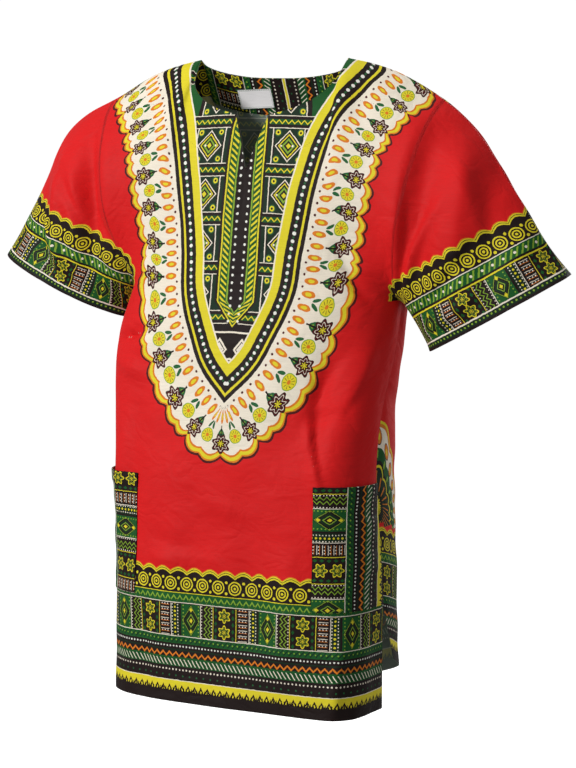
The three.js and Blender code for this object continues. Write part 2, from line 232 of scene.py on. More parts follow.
def coarsePanel(panel):
    # the panel's points, columns from the right cuff to the left: rays from the neck and the overarm
    # seam to the armpit line, half rings on the arms, then level sections down to the hem
    sign = -1 if panel == "front" else 1
    body, sleeve = form["bodyColumns"], form["sleeveColumns"]
    rows = upperRows + len(form["lowerRows"]) + 1
    points = np.full((2 * middle + 1, rows, 3), np.nan)
    for side, word in ((1, "Left"), (-1, "Right")):
        i = np.arange(middle + 1)
        reach = np.clip((i - body) / sleeve, 0, 1)
        armX, armZ = along(form["overarm" + word], reach)
        bodyX, bodyZ = columnStart(np.minimum(i, body), panel)
        startX = np.where(i > body, armX, bodyX)[:, None]
        startZ = np.where(i > body, armZ, bodyZ)[:, None]
        armpitX = form["sections"][0]["left" if side > 0 else "right"]
        cuff = form["cuffBottom" + word]
        endX = mix(armpitX, cuff["x"], reach)
        endX[:body + 1] = side * sectionPoints(form["armpit"], panel, side)[0]
        endZ = mix(form["armpit"], cuff["z"], reach)
        share = np.arange(upperRows + 1)[None, :] / upperRows
        even = 1 - np.minimum(i / body, 1)[:, None] ** 3
        t = mix((1 - np.cos(share * np.pi)) / 2, share**1.15, even)
        width = np.hypot(startX - endX[:, None], startZ - endZ[:, None])
        hang = -sign * form["cuffHang" + word] * reach[:, None] ** 2 / width * np.sin(share * np.pi)
        x = side * (mix(startX, endX[:, None], t) + hang * (startZ - endZ[:, None]))
        z = mix(startZ, endZ[:, None], t) - hang * (startX - endX[:, None])
        ring = mix(form["armDepth"], form["cuffDepth"], reach)[:, None] * np.sin(share * np.pi)
        depth = np.where(i[:, None] > body, ring, chestDepth(x, z, panel, side))
        columns = middle + side * i
        points[columns, :upperRows + 1] = np.stack([x, sign * (depth + form["gap"] / 2), z], -1)
        for k, level in enumerate(form["lowerRows"]):
            x, y = sectionPoints(level, panel, side)
            slit = np.clip((-level + form["lowerRows"][-1] + form["sideSlit"]) / form["sideSlit"], 0, 1)
            corner = slit * (i[:body + 1] / body) ** 6
            hung = 1 if panel == "back" and side > 0 else 0
            x = x + hung * form["backFlare"] * corner
            y = y + sign * (form["gap"] / 2 + form["slitOpening"] * corner)
            rise = hung * form["backRise"] * slit * (i[:body + 1] / body) ** 1.5
            row = np.stack([x, y, level + rise], -1)
            points[columns[:body + 1], upperRows + 1 + k] = row
    return points


def relax(points):
    # each upper point's depth moves 0.6 of the way to its neighbours' mean, the nearer weighing more
    free = ~onSeam(points.shape)[1:-1, 1:upperRows]
    for _ in range(form["relaxing"]):
        here = points[1:-1, 1:upperRows]
        near = np.stack([points[:-2, 1:upperRows], points[2:, 1:upperRows],
                         points[1:-1, :upperRows - 1], points[1:-1, 2:upperRows + 1]])
        weight = 1 / np.hypot(near[..., 0] - here[..., 0], near[..., 2] - here[..., 2])
        mean = (near[..., 1] * weight).sum(0) / weight.sum(0)
        here[..., 1] = np.where(free, mix(here[..., 1], mean, 0.6), here[..., 1])


def refine(points, breaks=(), steps=fineness):
    # cubic through the points along the first axis, that many steps each, with corners kept at breaks
    ends = [0, *breaks, len(points) - 1]
    t = (np.arange(steps) / steps).reshape((1, -1) + (1,) * (points.ndim - 1))
    parts = []
    for low, high in zip(ends[:-1], ends[1:]):
        p = points[low:high + 1]
        slope = np.gradient(p, axis=0)
        fine = cubic(t, p[:-1, None], p[1:, None], slope[:-1, None], slope[1:, None])
        parts.append(fine.reshape((-1,) + points.shape[1:]))
    return np.concatenate(parts + [points[-1:]])


def finePanel(points):
    # rows first, then columns: the slit's and neck's corners are kept at the top and fade in two rows
    body, sleeve = form["bodyColumns"], form["sleeveColumns"]
    upper = upperRows * fineness
    rows = refine(points[sleeve:-sleeve].swapaxes(0, 1)).swapaxes(0, 1)
    arms = [refine(points[c, :upperRows + 1].swapaxes(0, 1)).swapaxes(0, 1)
            for c in (slice(0, sleeve), slice(2 * middle + 1 - sleeve, None))]
    top = np.concatenate([arms[0], rows[:, :upper + 1], arms[1]])
    corners = [middle + s * k for s in (-1, 1) for k in (form["slitColumns"], form["neckColumns"])]
    fade = smoothStep(np.arange(upper + 1) / fineness, 0, 2)[None, :, None]
    topFine = mix(refine(top, sorted(corners)), refine(top), fade)
    lowFine = refine(rows[:, upper:])
    fine = np.full((len(topFine), rows.shape[1], 3), np.nan)
    fine[:, :upper + 1] = topFine
    fine[sleeve * fineness:len(fine) - sleeve * fineness, upper + 1:] = lowFine[:, 1:]
    return fine


def gridNormals(points, panel):
    # across the grid, crossed with down it, kept level with the seam plane on the seams
    padded = np.pad(points, ((1, 1), (1, 1), (0, 0)), constant_values=np.nan)

    def beside(dc, dj):
        other = padded[1 + dc:len(points) + 1 + dc, 1 + dj:points.shape[1] + 1 + dj]
        return np.where(np.isnan(other), points, other)

    across = beside(1, 0) - beside(-1, 0)
    down = beside(0, 1) - beside(0, -1)
    normal = unit(np.cross(down, across)) * (1 if panel == "front" else -1)
    normal[..., 1] = np.where(onSeam(points.shape, fineness), 0, normal[..., 1])
    return unit(normal)


def seamDistance(shape):
    # steps of the form's grid to the nearest seam
    i, j = gridSteps(shape, fineness)
    body, far = form["bodyColumns"], 9.0
    toShoulder = np.where(i >= form["neckColumns"], j, far)
    toUnderarm = np.where((i > body) & (j <= upperRows), upperRows - j, far)
    toSide = np.where((i <= body) & (j >= upperRows), body - i, far)
    return np.minimum(np.minimum(toShoulder, toUnderarm), toSide)


def foldHeight(points, rows, stronger=1.0):
    # sum of height * sin(pi t) * exp(-(off / width)^2), t along the fold and off to its side; a bend
    # bows the line, and a fold that is sharp on one side has a narrower width there
    x, z = points[..., 0], points[..., 2]
    total = np.zeros(x.shape)
    for fold in table(foldColumns, rows):
        dx, dz = fold["x2"] - fold["x1"], fold["z2"] - fold["z1"]
        length = np.hypot(dx, dz)
        t = ((x - fold["x1"]) * dx + (z - fold["z1"]) * dz) / length**2
        off = ((x - fold["x1"]) * dz - (z - fold["z1"]) * dx) / length
        inside = (t > 0) & (t < 1)
        wave = np.sin(np.pi * np.clip(t, 0, 1))
        off = off - fold.get("bend", 0) * wave
        width = np.where(off > 0, fold["width"], fold["width"] * fold.get("sharp", 1))
        total += np.where(inside, fold["height"] * wave * np.exp(-((off / width) ** 2)), 0)
    return total * stronger


# the largest folds, as the construction has them, then the smaller creases, all in millimetres; a
# row may leave off its last two columns, bend 0 and sharp 1
foldColumns = "x1 z1 x2 z2 width height bend sharp"
folds = {
    "front": [
        (212, -62, 190, -246, 17, 6),
        (236, -70, 214, -262, 18, -8),
        (268, -104, 240, -270, 18, 6),
        (-212, -62, -194, -246, 17, 6),
        (-236, -70, -218, -262, 18, -8),
        (-266, -100, -246, -266, 18, 6),
        (112, -330, 66, -480, 26, -5),
        (132, -400, 118, -640, 22, 5),
        (-150, -352, -96, -322, 15, 5),
        (-130, -370, -138, -620, 22, -4),
    ],
    "back": [
        (210, -66, 188, -246, 18, 6),
        (234, -74, 212, -260, 18, -7),
        (-210, -66, -190, -246, 18, 6),
        (-234, -74, -216, -258, 18, -7),
        (60, -180, 84, -560, 28, -7),
        (-66, -220, -92, -600, 28, -7),
        (4, -300, -8, -740, 32, 6),
    ],
}
creases = {
    "front": [
        (176, -296, 206, -130, 8, -3.5, 8, 0.5),
        (186, -288, 252, -150, 8, 4, -7, 0.6),
        (196, -300, 292, -196, 9, -3.5, 9, 0.6),
        (204, -318, 300, -254, 8, 3, 6),
        (240, -92, 300, -240, 11, 2.6, -8),
        (228, -66, 216, -300, 13, -4, 10),
        (262, -84, 258, -300, 12, 3.2, -8),
        (296, -120, 288, -300, 12, -3.2, -6),
        (336, -170, 318, -286, 12, 2.8, -4),
        (168, -292, 118, -206, 9, -3, -6, 0.6),
        (166, -306, 128, -420, 10, 2.4, -7, 0.5),
        (150, -322, 92, -450, 10, -2.2, 8, 0.6),
        (100, -396, 126, -510, 9, 4.2, 3, 0.4),
        (118, -300, 110, -500, 16, -3, -5),
        (88, -414, 140, -404, 7, -2.6, 2, 0.6),
        (120, -350, 112, -480, 9, -3, 4),
        (-176, -292, -230, -170, 8, -3.5, 6, 0.6),
        (-190, -276, -262, -128, 9, 4.2, -8, 0.6),
        (-206, -262, -300, -120, 10, -3.6, 9, 0.6),
        (-322, -150, -232, -286, 8, 3.6, 10, 0.5),
        (-340, -196, -268, -276, 7, -3, 5),
        (-240, -70, -238, -290, 12, -5, -8),
        (-276, -94, -276, -290, 11, 4.5, 8),
        (-310, -124, -306, -280, 11, -4, 6),
        (-172, -300, -126, -214, 9, 3, 6),
        (-184, -338, -118, -322, 7, -5, -3, 0.5),
        (-182, -352, -110, -372, 9, 3.6, 4),
        (-108, -560, -16, -576, 9, -2, 5),
        (-116, -590, 10, -584, 11, 2, -6),
        (-40, -508, 52, -530, 13, 1.6, 5),
        (-148, -400, -152, -620, 13, 3, 5),
        (-60, -470, -74, -720, 22, 2.4, 6),
        (28, -480, 36, -740, 22, -2.6, -5),
        (92, -520, 84, -752, 18, 2.4, 4),
        (152, -640, 148, -770, 8, 4, 2, 0.6),
        (-120, -630, -114, -764, 14, -2.6, -3),
        (120, -6, 150, -90, 12, -2, 3),
        (-124, -10, -158, -96, 12, -2, -3),
    ],
    "back": [
        (178, -294, 214, -140, 9, -3.6, 8, 0.6),
        (190, -290, 270, -160, 9, 4, -8, 0.6),
        (200, -306, 300, -214, 9, -3.2, 7),
        (-180, -292, -220, -146, 9, -3.6, -8, 0.6),
        (-192, -286, -276, -158, 9, 4, 8, 0.6),
        (-202, -296, -304, -206, 9, -3, -7),
        (168, -300, 96, -210, 10, 3.4, -8),
        (-170, -300, -100, -200, 10, 3.2, 8),
        (150, -320, 70, -440, 12, -3.4, 9),
        (-150, -330, -62, -430, 12, -3.2, -9),
        (-100, -412, 40, -430, 12, 2.6, 7),
        (-30, -448, 110, -432, 12, -2.4, -6),
        (40, -470, 52, -740, 18, 3, 7),
        (-50, -480, -40, -740, 18, 3, -6),
        (118, -440, 126, -730, 16, -3, 5),
        (-124, -450, -130, -730, 16, -3, -4),
    ],
}
clothSizes = {"wall": 0.8, "hemWall": 1.5, "hemWidth": 16, "seamDip": 0.9, "unevenness": 1.2,
              "creasing": 1.6}


def unevenness(points, seed):
    # slow uneven waves of the cloth, a sum of sines with random directions and lengths
    waves = np.random.default_rng(seed)
    total = np.zeros(points.shape[:-1])
    for _ in range(12):
        direction = unit(waves.normal(size=3))
        length = waves.uniform(40, 130)
        total += np.sin(points @ direction * 2 * np.pi / length + waves.uniform(0, 6.28))
    return total / 12 * 2.4


def easeArmholes(points):
    # 20 passes move each point towards the mean of its neighbours across, by 0.5 exp(-(c / 0.9)^2), c
    # columns of the form from the armhole
    c = np.abs(np.abs(np.arange(len(points)) / fineness - middle) - form["bodyColumns"])
    upper = slice(0, upperRows * fineness + 1)
    weight = 0.5 * np.exp(-((c / 0.9) ** 2))[1:-1, None, None]
    for _ in range(20):
        mean = (points[:-2, upper] + points[2:, upper]) / 2
        points[1:-1, upper] += (mean - points[1:-1, upper]) * weight * ~np.isnan(mean)


def makePanel(panel, seed):
    # form + folds, creases and unevenness along the normals, with a dip at each seam; all in metres
    coarse = coarsePanel(panel)
    relax(coarse)
    plain = finePanel(coarse)
    easeArmholes(plain)
    normals = gridNormals(plain, panel)
    away = seamDistance(plain.shape[:2])
    fade = np.clip(away / 2, 0, 1)
    height = fade * foldHeight(plain, folds[panel])
    height += smoothStep(away, 0, 0.9) * foldHeight(plain, creases[panel], clothSizes["creasing"])
    height += smoothStep(away, 0, 0.6) * clothSizes["unevenness"] * unevenness(plain, seed)
    height -= clothSizes["seamDip"] * np.exp(-((away / 0.22) ** 2))
    surface = plain + normals * height[..., None]
    return {"plain": plain * mm, "points": surface * mm, "normals": gridNormals(surface, panel)}


def summed(points, axis):
    # the run up to each point along the grid's columns or rows, from 0, over the points there are
    steps = np.nancumsum(np.linalg.norm(np.diff(points, axis=axis), axis=-1), axis=axis)
    return np.concatenate([np.zeros_like(np.take(steps, [0], axis)), steps], axis)


def clothPlaces(plain):
    # flat-cloth coordinates: across and down from the neck point's level, above the hem, in from the
    # cuff and round the arm
    centre = middle * fineness
    across = summed(plain * [1, 1, 0], 0)
    down = summed(plain * [0.35, 1, 1], 1) - plain[:, :1, 2] + 0.25 * np.abs(plain[:, :1, 1])
    fromRight = summed(plain, 0)
    leftSide = np.arange(len(plain))[:, None] >= centre
    around = summed(plain, 1)
    return {"across": across - across[centre], "down": down, "aboveHem": down[:, -1:] - down,
            "fromCuff": np.where(leftSide, fromRight[-1] - fromRight, fromRight),
            "round": around - around[:, upperRows * fineness // 2][:, None]}


# ---- meshes

def wallMesh(name, outer, inner, flip, places, zones=None, wrongSide=0):
    # a closed wall: the outer grid, the inner grid turned over, and a rim along every open edge; the
    # third number of edgePlace tells its inner face's paler wrong side
    valid = ~np.isnan(outer[..., 0])
    count = int(valid.sum())
    index = np.full(valid.shape, -1)
    index[valid] = np.arange(count)
    cell = valid[:-1, :-1] & valid[1:, :-1] & valid[:-1, 1:] & valid[1:, 1:]
    corners = [index[:-1, :-1], index[:-1, 1:], index[1:, 1:], index[1:, :-1]]
    if flip:
        corners = corners[::-1]
    quads = np.stack([c[cell] for c in corners], -1)
    faces = [quads, quads[:, ::-1] + count]
    zone = np.zeros(cell.shape, int) if zones is None else zones
    zoneList = [zone[cell], zone[cell]]
    padded = np.pad(cell, 1)
    around = [(0, 0), (0, 1), (1, 1), (1, 0), (0, 0)]
    for k, (dc, dj) in enumerate([(-1, 0), (0, 1), (1, 0), (0, -1)]):
        beside = padded[1 + dc:1 + dc + cell.shape[0], 1 + dj:1 + dj + cell.shape[1]]
        c, j = np.nonzero(cell & ~beside)
        start = index[c + around[k][0], j + around[k][1]]
        end = index[c + around[k + 1][0], j + around[k + 1][1]]
        if flip:
            start, end = end, start
        faces.append(np.stack([end, start, start + count, end + count], -1))
        zoneList.append(zone[c, j])
    vertices = np.concatenate([outer[valid], inner[valid]])
    mesh = makeMesh(name, vertices, np.concatenate(faces), np.concatenate(zoneList))
    for key, values in places.items():
        layer = mesh.attributes.new(key, "FLOAT_VECTOR", "POINT")
        flat = np.concatenate([values[valid], values[valid]])
        if key == "edgePlace":
            flat[count:, 2] = wrongSide
        layer.data.foreach_set("vector", flat.astype(np.float32).ravel())
    return mesh


def makeMesh(name, vertices, faces, zones=None, smooth=True):
    # quads or triangles from whole arrays
    size = faces.shape[1]
    mesh = bpy.data.meshes.new(name)
    mesh.vertices.add(len(vertices))
    mesh.vertices.foreach_set("co", vertices.astype(np.float32).ravel())
    mesh.loops.add(faces.size)
    mesh.loops.foreach_set("vertex_index", faces.astype(np.int32).ravel())
    mesh.polygons.add(len(faces))
    mesh.polygons.foreach_set("loop_start", np.arange(0, faces.size, size, dtype=np.int32))
    mesh.polygons.foreach_set("use_smooth", np.full(len(faces), smooth))
    if zones is not None:
        mesh.polygons.foreach_set("material_index", zones.astype(np.int32))
    mesh.update(calc_edges=True)
    mesh.validate()
    return mesh


def addPiece(name, mesh, materials, node=None):
    piece = bpy.data.objects.new(name, mesh)
    bpy.context.scene.collection.objects.link(piece)
    for material in materials:
        mesh.materials.append(material)
    mesh.set_sharp_from_angle(angle=np.radians(50))
    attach(piece, "root")
    if node:
        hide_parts(node)
    return piece


# ---- dyes, and numbers over the cloth

dyes = {  # sRGB
    "red": (0.82, 0.062, 0.07),
    "cream": (0.915, 0.875, 0.80),
    "white": (0.90, 0.90, 0.86),
    "yellow": (0.86, 0.80, 0.15),
    "orange": (0.84, 0.47, 0.10),
    "green": (0.06, 0.32, 0.12),
    "leaf": (0.12, 0.36, 0.19),
    "lime": (0.50, 0.64, 0.18),
    "darkGreen": (0.04, 0.15, 0.075),
    "dark": (0.095, 0.035, 0.028),
    "maroon": (0.29, 0.055, 0.055),
    "washed": (0.60, 0.66, 0.61),
    "thread": (0.20, 0.10, 0.08),
    "satin": (0.93, 0.92, 0.92),
}


def dye(name):
    # linear RGBA of a dye: ((c + 0.055) / 1.055)^2.4
    return (*[((c + 0.055) / 1.055) ** 2.4 if c > 0.04 else c / 12.92 for c in dyes[name]], 1.0)


def plug(tree, node, values):
    # sets a node's inputs: a Field or a socket is linked, a dye's name becomes its colour
    for key, value in values.items():
        if isinstance(value, (Field, bpy.types.NodeSocket)):
            tree.links.new(getattr(value, "socket", value), node.inputs[key])
        else:
            node.inputs[key].default_value = dye(value) if isinstance(value, str) else value


def addNode(tree, kind, values, **settings):
    made = tree.nodes.new("ShaderNode" + kind)
    for key, value in settings.items():
        setattr(made, key, value)
    plug(tree, made, values)
    return made


class Field:
    # a number over the cloth; each sum, product or test of it adds one Math node
    def __init__(self, tree, socket):
        self.tree, self.socket = tree, socket

    def step(self, operation, *others):
        made = addNode(self.tree, "Math", dict(enumerate((self, *others))), operation=operation)
        return Field(self.tree, made.outputs[0])

    def __add__(self, other):
        return self.step("ADD", other)

    def __sub__(self, other):
        return self.step("SUBTRACT", other)

    def __mul__(self, other):
        return self.step("MULTIPLY", other)

    def __abs__(self):
        return self.step("ABSOLUTE")

    def sine(self):
        return self.step("SINE")

    def below(self, limit):
        return self.step("LESS_THAN", limit)

    def band(self, low, high):
        # 1 from low to high
        return self.step("COMPARE", (low + high) / 2, (high - low) / 2)

    def every(self, pitch):
        # repeats from -pitch / 2 to pitch / 2
        return self.step("WRAP", pitch / 2, -pitch / 2)

    def zigzag(self, pitch, height):
        # a triangle wave from 0 to height
        return self.step("PINGPONG", pitch / 2) * (2 * height / pitch)


def radius(x, y, width=1, height=1):
    # sqrt((x / width)^2 + (y / height)^2)
    tree = x.tree
    point = addNode(tree, "CombineXYZ", {0: x, 1: y}).outputs[0]
    scale = (1 / width, 1 / height, 0)
    scaled = addNode(tree, "VectorMath", {0: point, 1: scale}, operation="MULTIPLY").outputs[0]
    return Field(tree, addNode(tree, "VectorMath", {0: scaled}, operation="LENGTH").outputs["Value"])


def leafRadius(x, y, turn, width, height):
    # radius of an ellipse turned by an angle: the pattern point turned back, then scaled
    tree = x.tree
    point = addNode(tree, "CombineXYZ", {0: x, 1: y}).outputs[0]
    values = {"Vector": point, "Rotation": (0, 0, np.radians(turn)), "Scale": (width, height, 1)}
    placed = addNode(tree, "Mapping", values, vector_type="TEXTURE").outputs[0]
    return Field(tree, addNode(tree, "VectorMath", {0: placed}, operation="LENGTH").outputs["Value"])


def lozenge(x, y, width, height):
    # |x| / width + |y| / height
    return abs(x) * (1 / width) + abs(y) * (1 / height)


def paint(under, mask, over):
    # over where the mask is 1, under where it is 0
    return addNode(mask.tree, "Mix", {0: mask, 6: under, 7: over}, data_type="RGBA").outputs[2]


def bands(field, stops):
    # flat colours one after another: each (start, dye) holds until the next
    low, high = stops[0][0], stops[-1][0] + 1
    share = (field - low) * (1 / (high - low))
    made = addNode(field.tree, "ValToRGB", {0: share})
    made.color_ramp.interpolation = "CONSTANT"
    points = made.color_ramp.elements
    for k, (start, name) in enumerate(stops):
        point = points[k] if k < 2 else points.new((start - low) / (high - low))
        point.position = (start - low) / (high - low)
        point.color = dye(name)
    return made.outputs[0]


# ---- shader groups

def newGroup(name, inputs, outputs):
    group = bpy.data.node_groups.new(name, "ShaderNodeTree")
    kinds = {"f": "NodeSocketFloat", "v": "NodeSocketVector", "c": "NodeSocketColor"}
    for key, kind, value in inputs:
        socket = group.interface.new_socket(key, in_out="INPUT", socket_type=kinds[kind])
        if value is not None:
            socket.default_value = value
    for key, kind in outputs:
        group.interface.new_socket(key, in_out="OUTPUT", socket_type=kinds[kind])
    return group, group.nodes.new("NodeGroupInput"), group.nodes.new("NodeGroupOutput")


def useGroup(tree, group, **values):
    return addNode(tree, "Group", values, node_tree=group)


def noise(tree, vector, scale, detail=2.0, rough=0.5, distortion=0.0):
    return addNode(tree, "TexNoise", {"Vector": vector, "Scale": scale, "Detail": detail,
                                      "Roughness": rough, "Distortion": distortion})


def makeWeave():
    # plain weave: sin(2 pi s / pitch) * sin(2 pi d / pitch), with thicker threads here and there
    group, source, sink = newGroup("plainWeave", [("Place", "v", None), ("Pitch", "f", 0.0005)],
                                   [("Height", "f"), ("Tone", "f")])
    place = source.outputs["Place"]
    split = addNode(group, "SeparateXYZ", {0: place})
    turn = Field(group, source.outputs["Pitch"]).step("POWER", -1.0) * (2 * np.pi)
    warp = (Field(group, split.outputs[0]) * turn).sine()
    weft = (Field(group, split.outputs[1]) * turn).sine()
    stretched = addNode(group, "Mapping", {"Vector": place, "Scale": (60, 1500, 1)}).outputs[0]
    slub = Field(group, noise(group, stretched, 1.0, 1.0).outputs[0])
    tone = (slub - 0.5) * 0.22 + (warp * weft) * 0.05 + 1.0
    plug(group, sink, {"Height": warp * weft * 0.5 + slub * 0.8, "Tone": tone})
    return group


def makeDyeing():
    # colour * (slow unevenness * fine flecks * thread tone), rougher where it is paler
    group, source, sink = newGroup(
        "waxDyeing", [("Colour", "c", None), ("Place", "v", None), ("Tone", "f", 1.0),
                      ("Unevenness", "f", 0.12)], [("Colour", "c"), ("Roughness", "f")])
    place = source.outputs["Place"]
    slow = Field(group, noise(group, place, 13, 3.0).outputs[0]) - 0.5
    fine = Field(group, noise(group, place, 520, 2.0).outputs[0]) - 0.5
    amount = Field(group, source.outputs["Unevenness"])
    shade = (slow * amount * 1.3 + fine * amount + 1.0) * Field(group, source.outputs["Tone"])
    scaled = addNode(group, "VectorMath", {0: source.outputs["Colour"], "Scale": shade}, operation="SCALE")
    plug(group, sink, {"Colour": scaled.outputs[0], "Roughness": fine * 0.16 + slow * 0.14 + 0.66})
    return group


def makeWobble():
    # moves the print by up to half a millimetre, as hand-set blocks and soaked cloth do
    group, source, sink = newGroup("printWobble", [("Place", "v", None), ("Amount", "f", 0.0011)],
                                   [("Place", "v")])
    place = source.outputs["Place"]
    spots = noise(group, place, 230, 1.0).outputs["Color"]
    centred = addNode(group, "VectorMath", {0: spots, 1: (0.5, 0.5, 0.5)}, operation="SUBTRACT").outputs[0]
    values = {0: centred, "Scale": source.outputs["Amount"]}
    scaled = addNode(group, "VectorMath", values, operation="SCALE").outputs[0]
    plug(group, sink, {"Place": addNode(group, "VectorMath", {0: place, 1: scaled}).outputs[0]})
    return group


def makeRumple():
    # fine rumples left from folding and wear: |noise - 0.5| gives soft ridged lines
    group, source, sink = newGroup("softRumple", [("Place", "v", None), ("Scale", "f", 22.0)],
                                   [("Height", "f")])
    place = source.outputs["Place"]
    ridge = abs(Field(group, noise(group, place, source.outputs["Scale"], 2.5, 0.55, 0.5).outputs[0]) - 0.5)
    broad = Field(group, noise(group, place, 7, 1.0).outputs[0])
    plug(group, sink, {"Height": ridge * -1.4 + broad * 1.2})
    return group


weave, dyeing, wobble, rumple = makeWeave(), makeDyeing(), makeWobble(), makeRumple()


# ---- the print's parts

printSizes = {"hem": 165, "cuff": 99, "hipHalfWidth": 68, "hipHalfHeight": 106, "hipLevel": 562}


def dotRow(under, u, h, at, pitch, size, colour):
    return paint(under, radius(u.every(pitch), h - at).below(size), colour)


def dashRow(under, u, h, low, high, pitch, width, lean, colour):
    # slanted dashes: |(u + lean h) mod pitch| < width / 2, between two heights
    dash = (u + h * lean).every(pitch).band(-width / 2, width / 2)
    return paint(under, dash * h.band(low, high), colour)


def zigzagRow(under, u, h, low, high, pitch, width, colour):
    line = h - low - width / 2 - u.zigzag(pitch, high - low - width)
    return paint(under, line.band(-width * 0.75, width * 0.75), colour)


def ringRow(under, u, h, low, high, pitch):
    # rings of one colour inside another, pitch apart, in the band from low to high
    x = u.every(pitch)
    size = (high - low) / 22
    r = radius(x, h - (low + high) / 2)
    rings = bands(r, [(0, "yellow"), (1.8 * size, "dark"), (3.8 * size, "yellow"), (5.6 * size, "dark"),
                      (7.6 * size, "yellow"), (9.4 * size, "dark")])
    under = paint(under, h.band(low, high), rings)
    small = radius((u + pitch / 2).every(pitch), abs(h - (low + high) / 2) - 7.5 * size)
    return paint(under, small.below(2.0 * size), "yellow")


def scallopRow(under, u, h, low, pitch, depth):
    # a row of arches: h + depth * |sin(pi u / pitch)| falling through flat colours, then the ground
    arch = h - abs((u * (np.pi / pitch)).sine()) * depth
    edge = bands(arch, [(low - 40, "dark"), (low - 5.4, "yellow"), (low - 3.4, "dark"), (low - 2.6, "yellow"),
                        (low - 1.2, "orange"), (low, "red")])
    return paint(under, h.band(low - 5.4, low + depth + 60), edge)


def ringed(under, r, edge, stops):
    # inside a shape's edge, flat colours one round another by its radius
    return paint(under, r.below(edge), bands(r, stops))


def flower(x, y, petals, depth):
    # radius less depth * cos(petals * angle), so that each petal reaches further out
    return radius(x, y) - (x.step("ARCTAN2", y) * petals).step("COSINE") * depth


def printRows(base, u, h, rows):
    for row, *sizes in rows:
        base = row(base, u, h, *sizes)
    return base


def blockRow(under, u, h, low, high):
    # repeating blocks: a lozenge, upright zigzags, a flower, bars and dots, between upright lines
    half = (high - low) / 2
    x = u.every(104)
    v = h - (low + high) / 2
    ground = bands(x, [(-52, "dark"), (-50.5, "green"), (-25, "cream"), (-24.2, "dark"), (-8, "yellow"),
                       (-7.2, "dark"), (23, "yellow"), (23.8, "dark"), (39.6, "cream"),
                       (40.4, "darkGreen"), (51, "dark"), (52, "dark")])
    fromGem, fromZigzag, fromFlower, fromDots = x + 37.5, x + 16, x - 8, x - 45.5
    ground = ringed(ground, lozenge(fromGem, v, 12.5, half), 1, [
        (0, "yellow"), (0.16, "dark"), (0.34, "lime"), (0.43, "darkGreen"), (0.70, "dark"),
        (0.86, "lime"), (0.93, "dark")])
    ground = paint(ground, lozenge(fromGem, v.every(half / 1.5), 2.2, 3.0).below(1), "yellow")
    ground = paint(ground, radius(abs(fromGem) - 10.2, v.every(4.4)).below(0.85), "lime")
    waves = [abs((x + aside) - v.zigzag(7.4, 4)).band(0, 0.7) for aside in (19.5, 14.5)]
    ground = paint(ground, (waves[0] + waves[1]) * x.band(-24.2, -8), "lime")
    ground = paint(ground, radius(abs(fromZigzag) - 7, v.every(3.6)).below(0.7), "cream")
    ground = ringed(ground, flower(fromFlower, abs(v) - half * 0.5, 6, 1.5), 8, [
        (0, "yellow"), (1.4, "dark"), (3.6, "lime"), (4.4, "dark"), (5.6, "yellow"), (7.2, "dark")])
    ground = paint(ground, lozenge(abs(fromFlower) - 11.5, v.every(8), 2.0, 2.8).below(1), "green")
    bar = bands(v.every(6.4), [(-3.2, "dark"), (-2.3, "orange"), (-1.7, "dark"), (0.6, "cream"),
                               (1.3, "dark"), (3.2, "dark")])
    bar = paint(bar, radius((x - 31.7).every(3.8), (v + 1).every(6.4)).below(0.7), "white")
    ground = paint(ground, x.band(26, 37.5), bar)
    ground = paint(ground, radius(fromDots, v.every(5)).below(1.3), "yellow")
    ground = paint(ground, radius(abs(fromDots) - 3.6, v.every(3.6)).below(0.75), "cream")
    return paint(under, h.band(low, high), ground)


def hemBorder(u, h):
    # the border of the hem, from its edge up, in millimetres
    base = bands(h, [(-60, "dark"), (13, "yellow"), (25, "cream"), (26.2, "dark"), (42, "green"),
                     (53, "dark"), (61, "darkGreen"), (63, "dark"), (70, "green"), (78.5, "cream"),
                     (79.5, "dark"), (118, "cream"), (119, "green"), (130, "yellow"), (131.2, "dark"),
                     (153, "yellow"), (158, "red")])
    base = dashRow(base, u + 2.8, h, 43.6, 51.4, 5.6, 1.0, 0.7, "darkGreen")
    return printRows(base, u, h, [
        (zigzagRow, 8, 17.5, 3.7, 3.0, "dark"),
        (zigzagRow, 10, 20.5, 8.9, 2.4, "dark"),
        (dotRow, 38.6, 4.8, 1.05, "cream"),
        (dotRow, 31.5, 9.6, 1.1, "leaf"),
        (dashRow, 43.6, 51.4, 5.6, 1.3, 0.7, "cream"),
        (zigzagRow, 53.8, 60.2, 9, 1.7, "orange"),
        (dotRow, 66.6, 4.4, 1.05, "white"),
        (dashRow, 71.2, 77.6, 6.4, 1.6, -0.9, "darkGreen"),
        (dotRow, 74.4, 6.4, 0.9, "lime"),
        (blockRow, 79.5, 118),
        (zigzagRow, 121.2, 128.4, 8, 1.6, "lime"),
        (dotRow, 122.4, 8, 0.9, "darkGreen"),
        (ringRow, 132.4, 151.6, 21.5),
        (scallopRow, 157.5, 21.5, 5),
    ])


def cuffBorder(u, h):
    base = bands(h, [(-60, "dark"), (3, "darkGreen"), (9, "cream"), (10.5, "dark"), (44, "yellow"),
                     (46, "dark"), (48, "green"), (60, "cream"), (61, "dark"), (85, "yellow"),
                     (90, "red")])
    return printRows(base, u, h, [
        (dotRow, 6, 5.5, 1.2, "lime"),
        (blockRow, 11, 44),
        (dashRow, 49, 59, 7, 2.4, 0.7, "lime"),
        (dotRow, 54, 14, 1.6, "cream"),
        (ringRow, 62, 82, 21),
        (scallopRow, 90.5, 21, 5),
    ])


